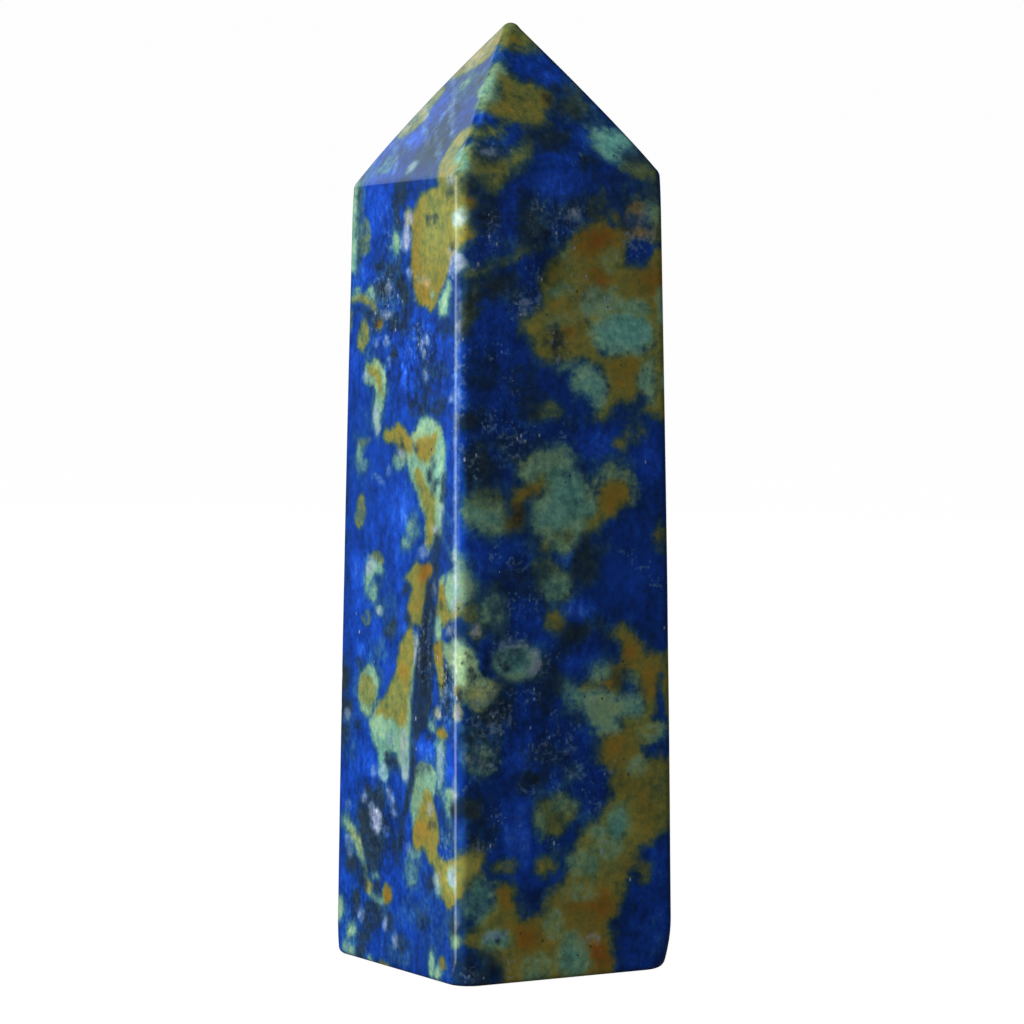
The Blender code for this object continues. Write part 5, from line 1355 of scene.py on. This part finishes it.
VIEW_AZIMUTH = math.radians(30.54)              # the view's heading, from +Y towards +X
VIEW_TILT = math.radians(2.7565)                # downwards
VIEW_ROLL = math.radians(0.172)
VIEW_PLACE = (-170.40, -290.20, 54.67)
LENS = 138.9
PAPER = 0.988                                   # brightness of the pale floor and backdrop
FLOOR_GLOW = 0.16                               # what the stone gathers from the floor
STUDIO_GLOW = 0.22                              # and from the studio round it
DIMMED_IN_POLISH = 0.19                         # taken off where the polish reflects the studio
FLOOR_RADIUS = 30.0                             # in metres, as is the drop that keeps it off the base
FLOOR_DROP = 0.00002
FLOOR_SIDES = 96


def add_camera():
    """A camera that looks along the view's heading, rolled a little about it."""
    heading = Vector((math.sin(VIEW_AZIMUTH) * math.cos(VIEW_TILT),
                      math.cos(VIEW_AZIMUTH) * math.cos(VIEW_TILT), -math.sin(VIEW_TILT)))
    level_right = Vector((math.cos(VIEW_AZIMUTH), -math.sin(VIEW_AZIMUTH), 0.0))
    level_up = level_right.cross(heading)
    right = math.cos(VIEW_ROLL) * level_right + math.sin(VIEW_ROLL) * level_up
    up = right.cross(heading)
    data = bpy.data.cameras.new("view")
    data.lens = LENS
    data.sensor_width = 36.0
    data.clip_start = 0.01
    camera = bpy.data.objects.new("view", data)
    turn = Matrix((right, up, -heading)).transposed().to_4x4()
    camera.matrix_world = Matrix.Translation(Vector(VIEW_PLACE) * MM) @ turn
    bpy.context.scene.collection.objects.link(camera)
    bpy.context.scene.camera = camera


def add_card(name, towards, distance, width, height, brightness, colour=(1, 1, 1),
             diffuse=True, glossy=True):
    """A soft rectangular lamp in a direction from the stone's middle, facing it.

    brightness is the radiance of its surface.
    """
    data = bpy.data.lights.new(name, "AREA")
    data.shape = "RECTANGLE"
    data.size, data.size_y = width, height
    data.color = colour
    data.energy = brightness * math.pi * width * height
    lamp = bpy.data.objects.new(name, data)
    direction = Vector(towards).normalized()
    lamp.location = Vector((0.0, 0.0, HEIGHT * MM / 2)) + direction * distance
    lamp.rotation_euler = direction.to_track_quat("Z", "Y").to_euler()
    lamp.visible_camera = False
    lamp.visible_diffuse = diffuse
    lamp.visible_glossy = glossy
    bpy.context.scene.collection.objects.link(lamp)


def add_floor():
    """A wide pale disc that the stone stands on, bright to the eye and duller to the stone."""
    mesh = bpy.data.meshes.new("floor")
    angle = np.linspace(0, 2 * math.pi, FLOOR_SIDES, endpoint=False)
    ring = np.c_[FLOOR_RADIUS * np.cos(angle), FLOOR_RADIUS * np.sin(angle), 0 * angle - FLOOR_DROP]
    mesh.from_pydata(ring.tolist(), [], [list(range(FLOOR_SIDES))])
    floor = bpy.data.objects.new("floor", mesh)
    material = bpy.data.materials.new("pale floor")
    material.use_nodes = True
    wires = Wiring(material.node_tree)
    shader = material.node_tree.nodes["Principled BSDF"]
    shader.inputs["Base Color"].default_value = (0.02, 0.02, 0.02, 1.0)
    shader.inputs["Roughness"].default_value = 1.0
    shader.inputs["Specular IOR Level"].default_value = 0.0
    shader.inputs["Emission Color"].default_value = (1.0, 1.0, 1.0, 1.0)
    path = wires.add("ShaderNodeLightPath")
    glow = wires.math("MULTIPLY_ADD", path.outputs["Is Camera Ray"], PAPER - FLOOR_GLOW, FLOOR_GLOW)
    wires.feed(shader.inputs["Emission Strength"], glow)
    mesh.materials.append(material)
    floor.visible_glossy = False
    bpy.context.scene.collection.objects.link(floor)


def set_world():
    """White where the camera sees it, dim where the stone gathers it, and dimmer in reflections."""
    world = bpy.data.worlds.new("studio")
    world.use_nodes = True
    tree = world.node_tree
    wires = Wiring(tree)
    path = wires.add("ShaderNodeLightPath")
    strength = wires.math("MULTIPLY_ADD", path.outputs["Is Camera Ray"], PAPER - STUDIO_GLOW, STUDIO_GLOW)
    strength = wires.math("MULTIPLY_ADD", path.outputs["Is Glossy Ray"], -DIMMED_IN_POLISH, strength)
    background = tree.nodes["Background"]
    background.inputs["Color"].default_value = (1.0, 1.0, 1.0, 1.0)
    wires.feed(background.inputs["Strength"], strength)
    bpy.context.scene.world = world


def add_lights():
    """The cards and lamps: direction, distance, width, height, brightness and colour of each."""
    add_card("key", (-0.985, -0.13, 0.20), 0.60, 0.40, 0.40, 16.5, glossy=False)
    add_card("front_fill", (0.25, -0.95, 0.25), 0.80, 0.50, 0.50, 0.72, glossy=False)
    add_card("edge_strip", (-0.83, 0.56, 0.12), 0.60, 0.38, 0.46, 4.0, (0.80, 0.92, 1.0), diffuse=False)
    add_card("facet_card", (-0.20, 0.86, 0.49), 0.60, 0.34, 0.30, 1.0, (0.78, 0.95, 1.0), diffuse=False)
    add_card("front_sheen", (0.52, -0.85, 0.45), 0.60, 0.40, 0.40, 0.04, (0.7, 0.85, 1.0), diffuse=False)
    add_card("overhead", (0.1, -0.2, 1.0), 0.70, 0.50, 0.50, 0.8, glossy=False)
    add_card("back_fill", (0.8, 0.7, 0.4), 0.70, 0.50, 0.50, 4.0, glossy=False)


def main():
    stone = make_stone()
    stone.data.materials.append(stone_material())
    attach(stone, "root")
    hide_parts("obelisk")
    add_floor()
    set_world()
    add_lights()
    add_camera()
    bpy.context.scene.view_settings.view_transform = "Standard"


main()
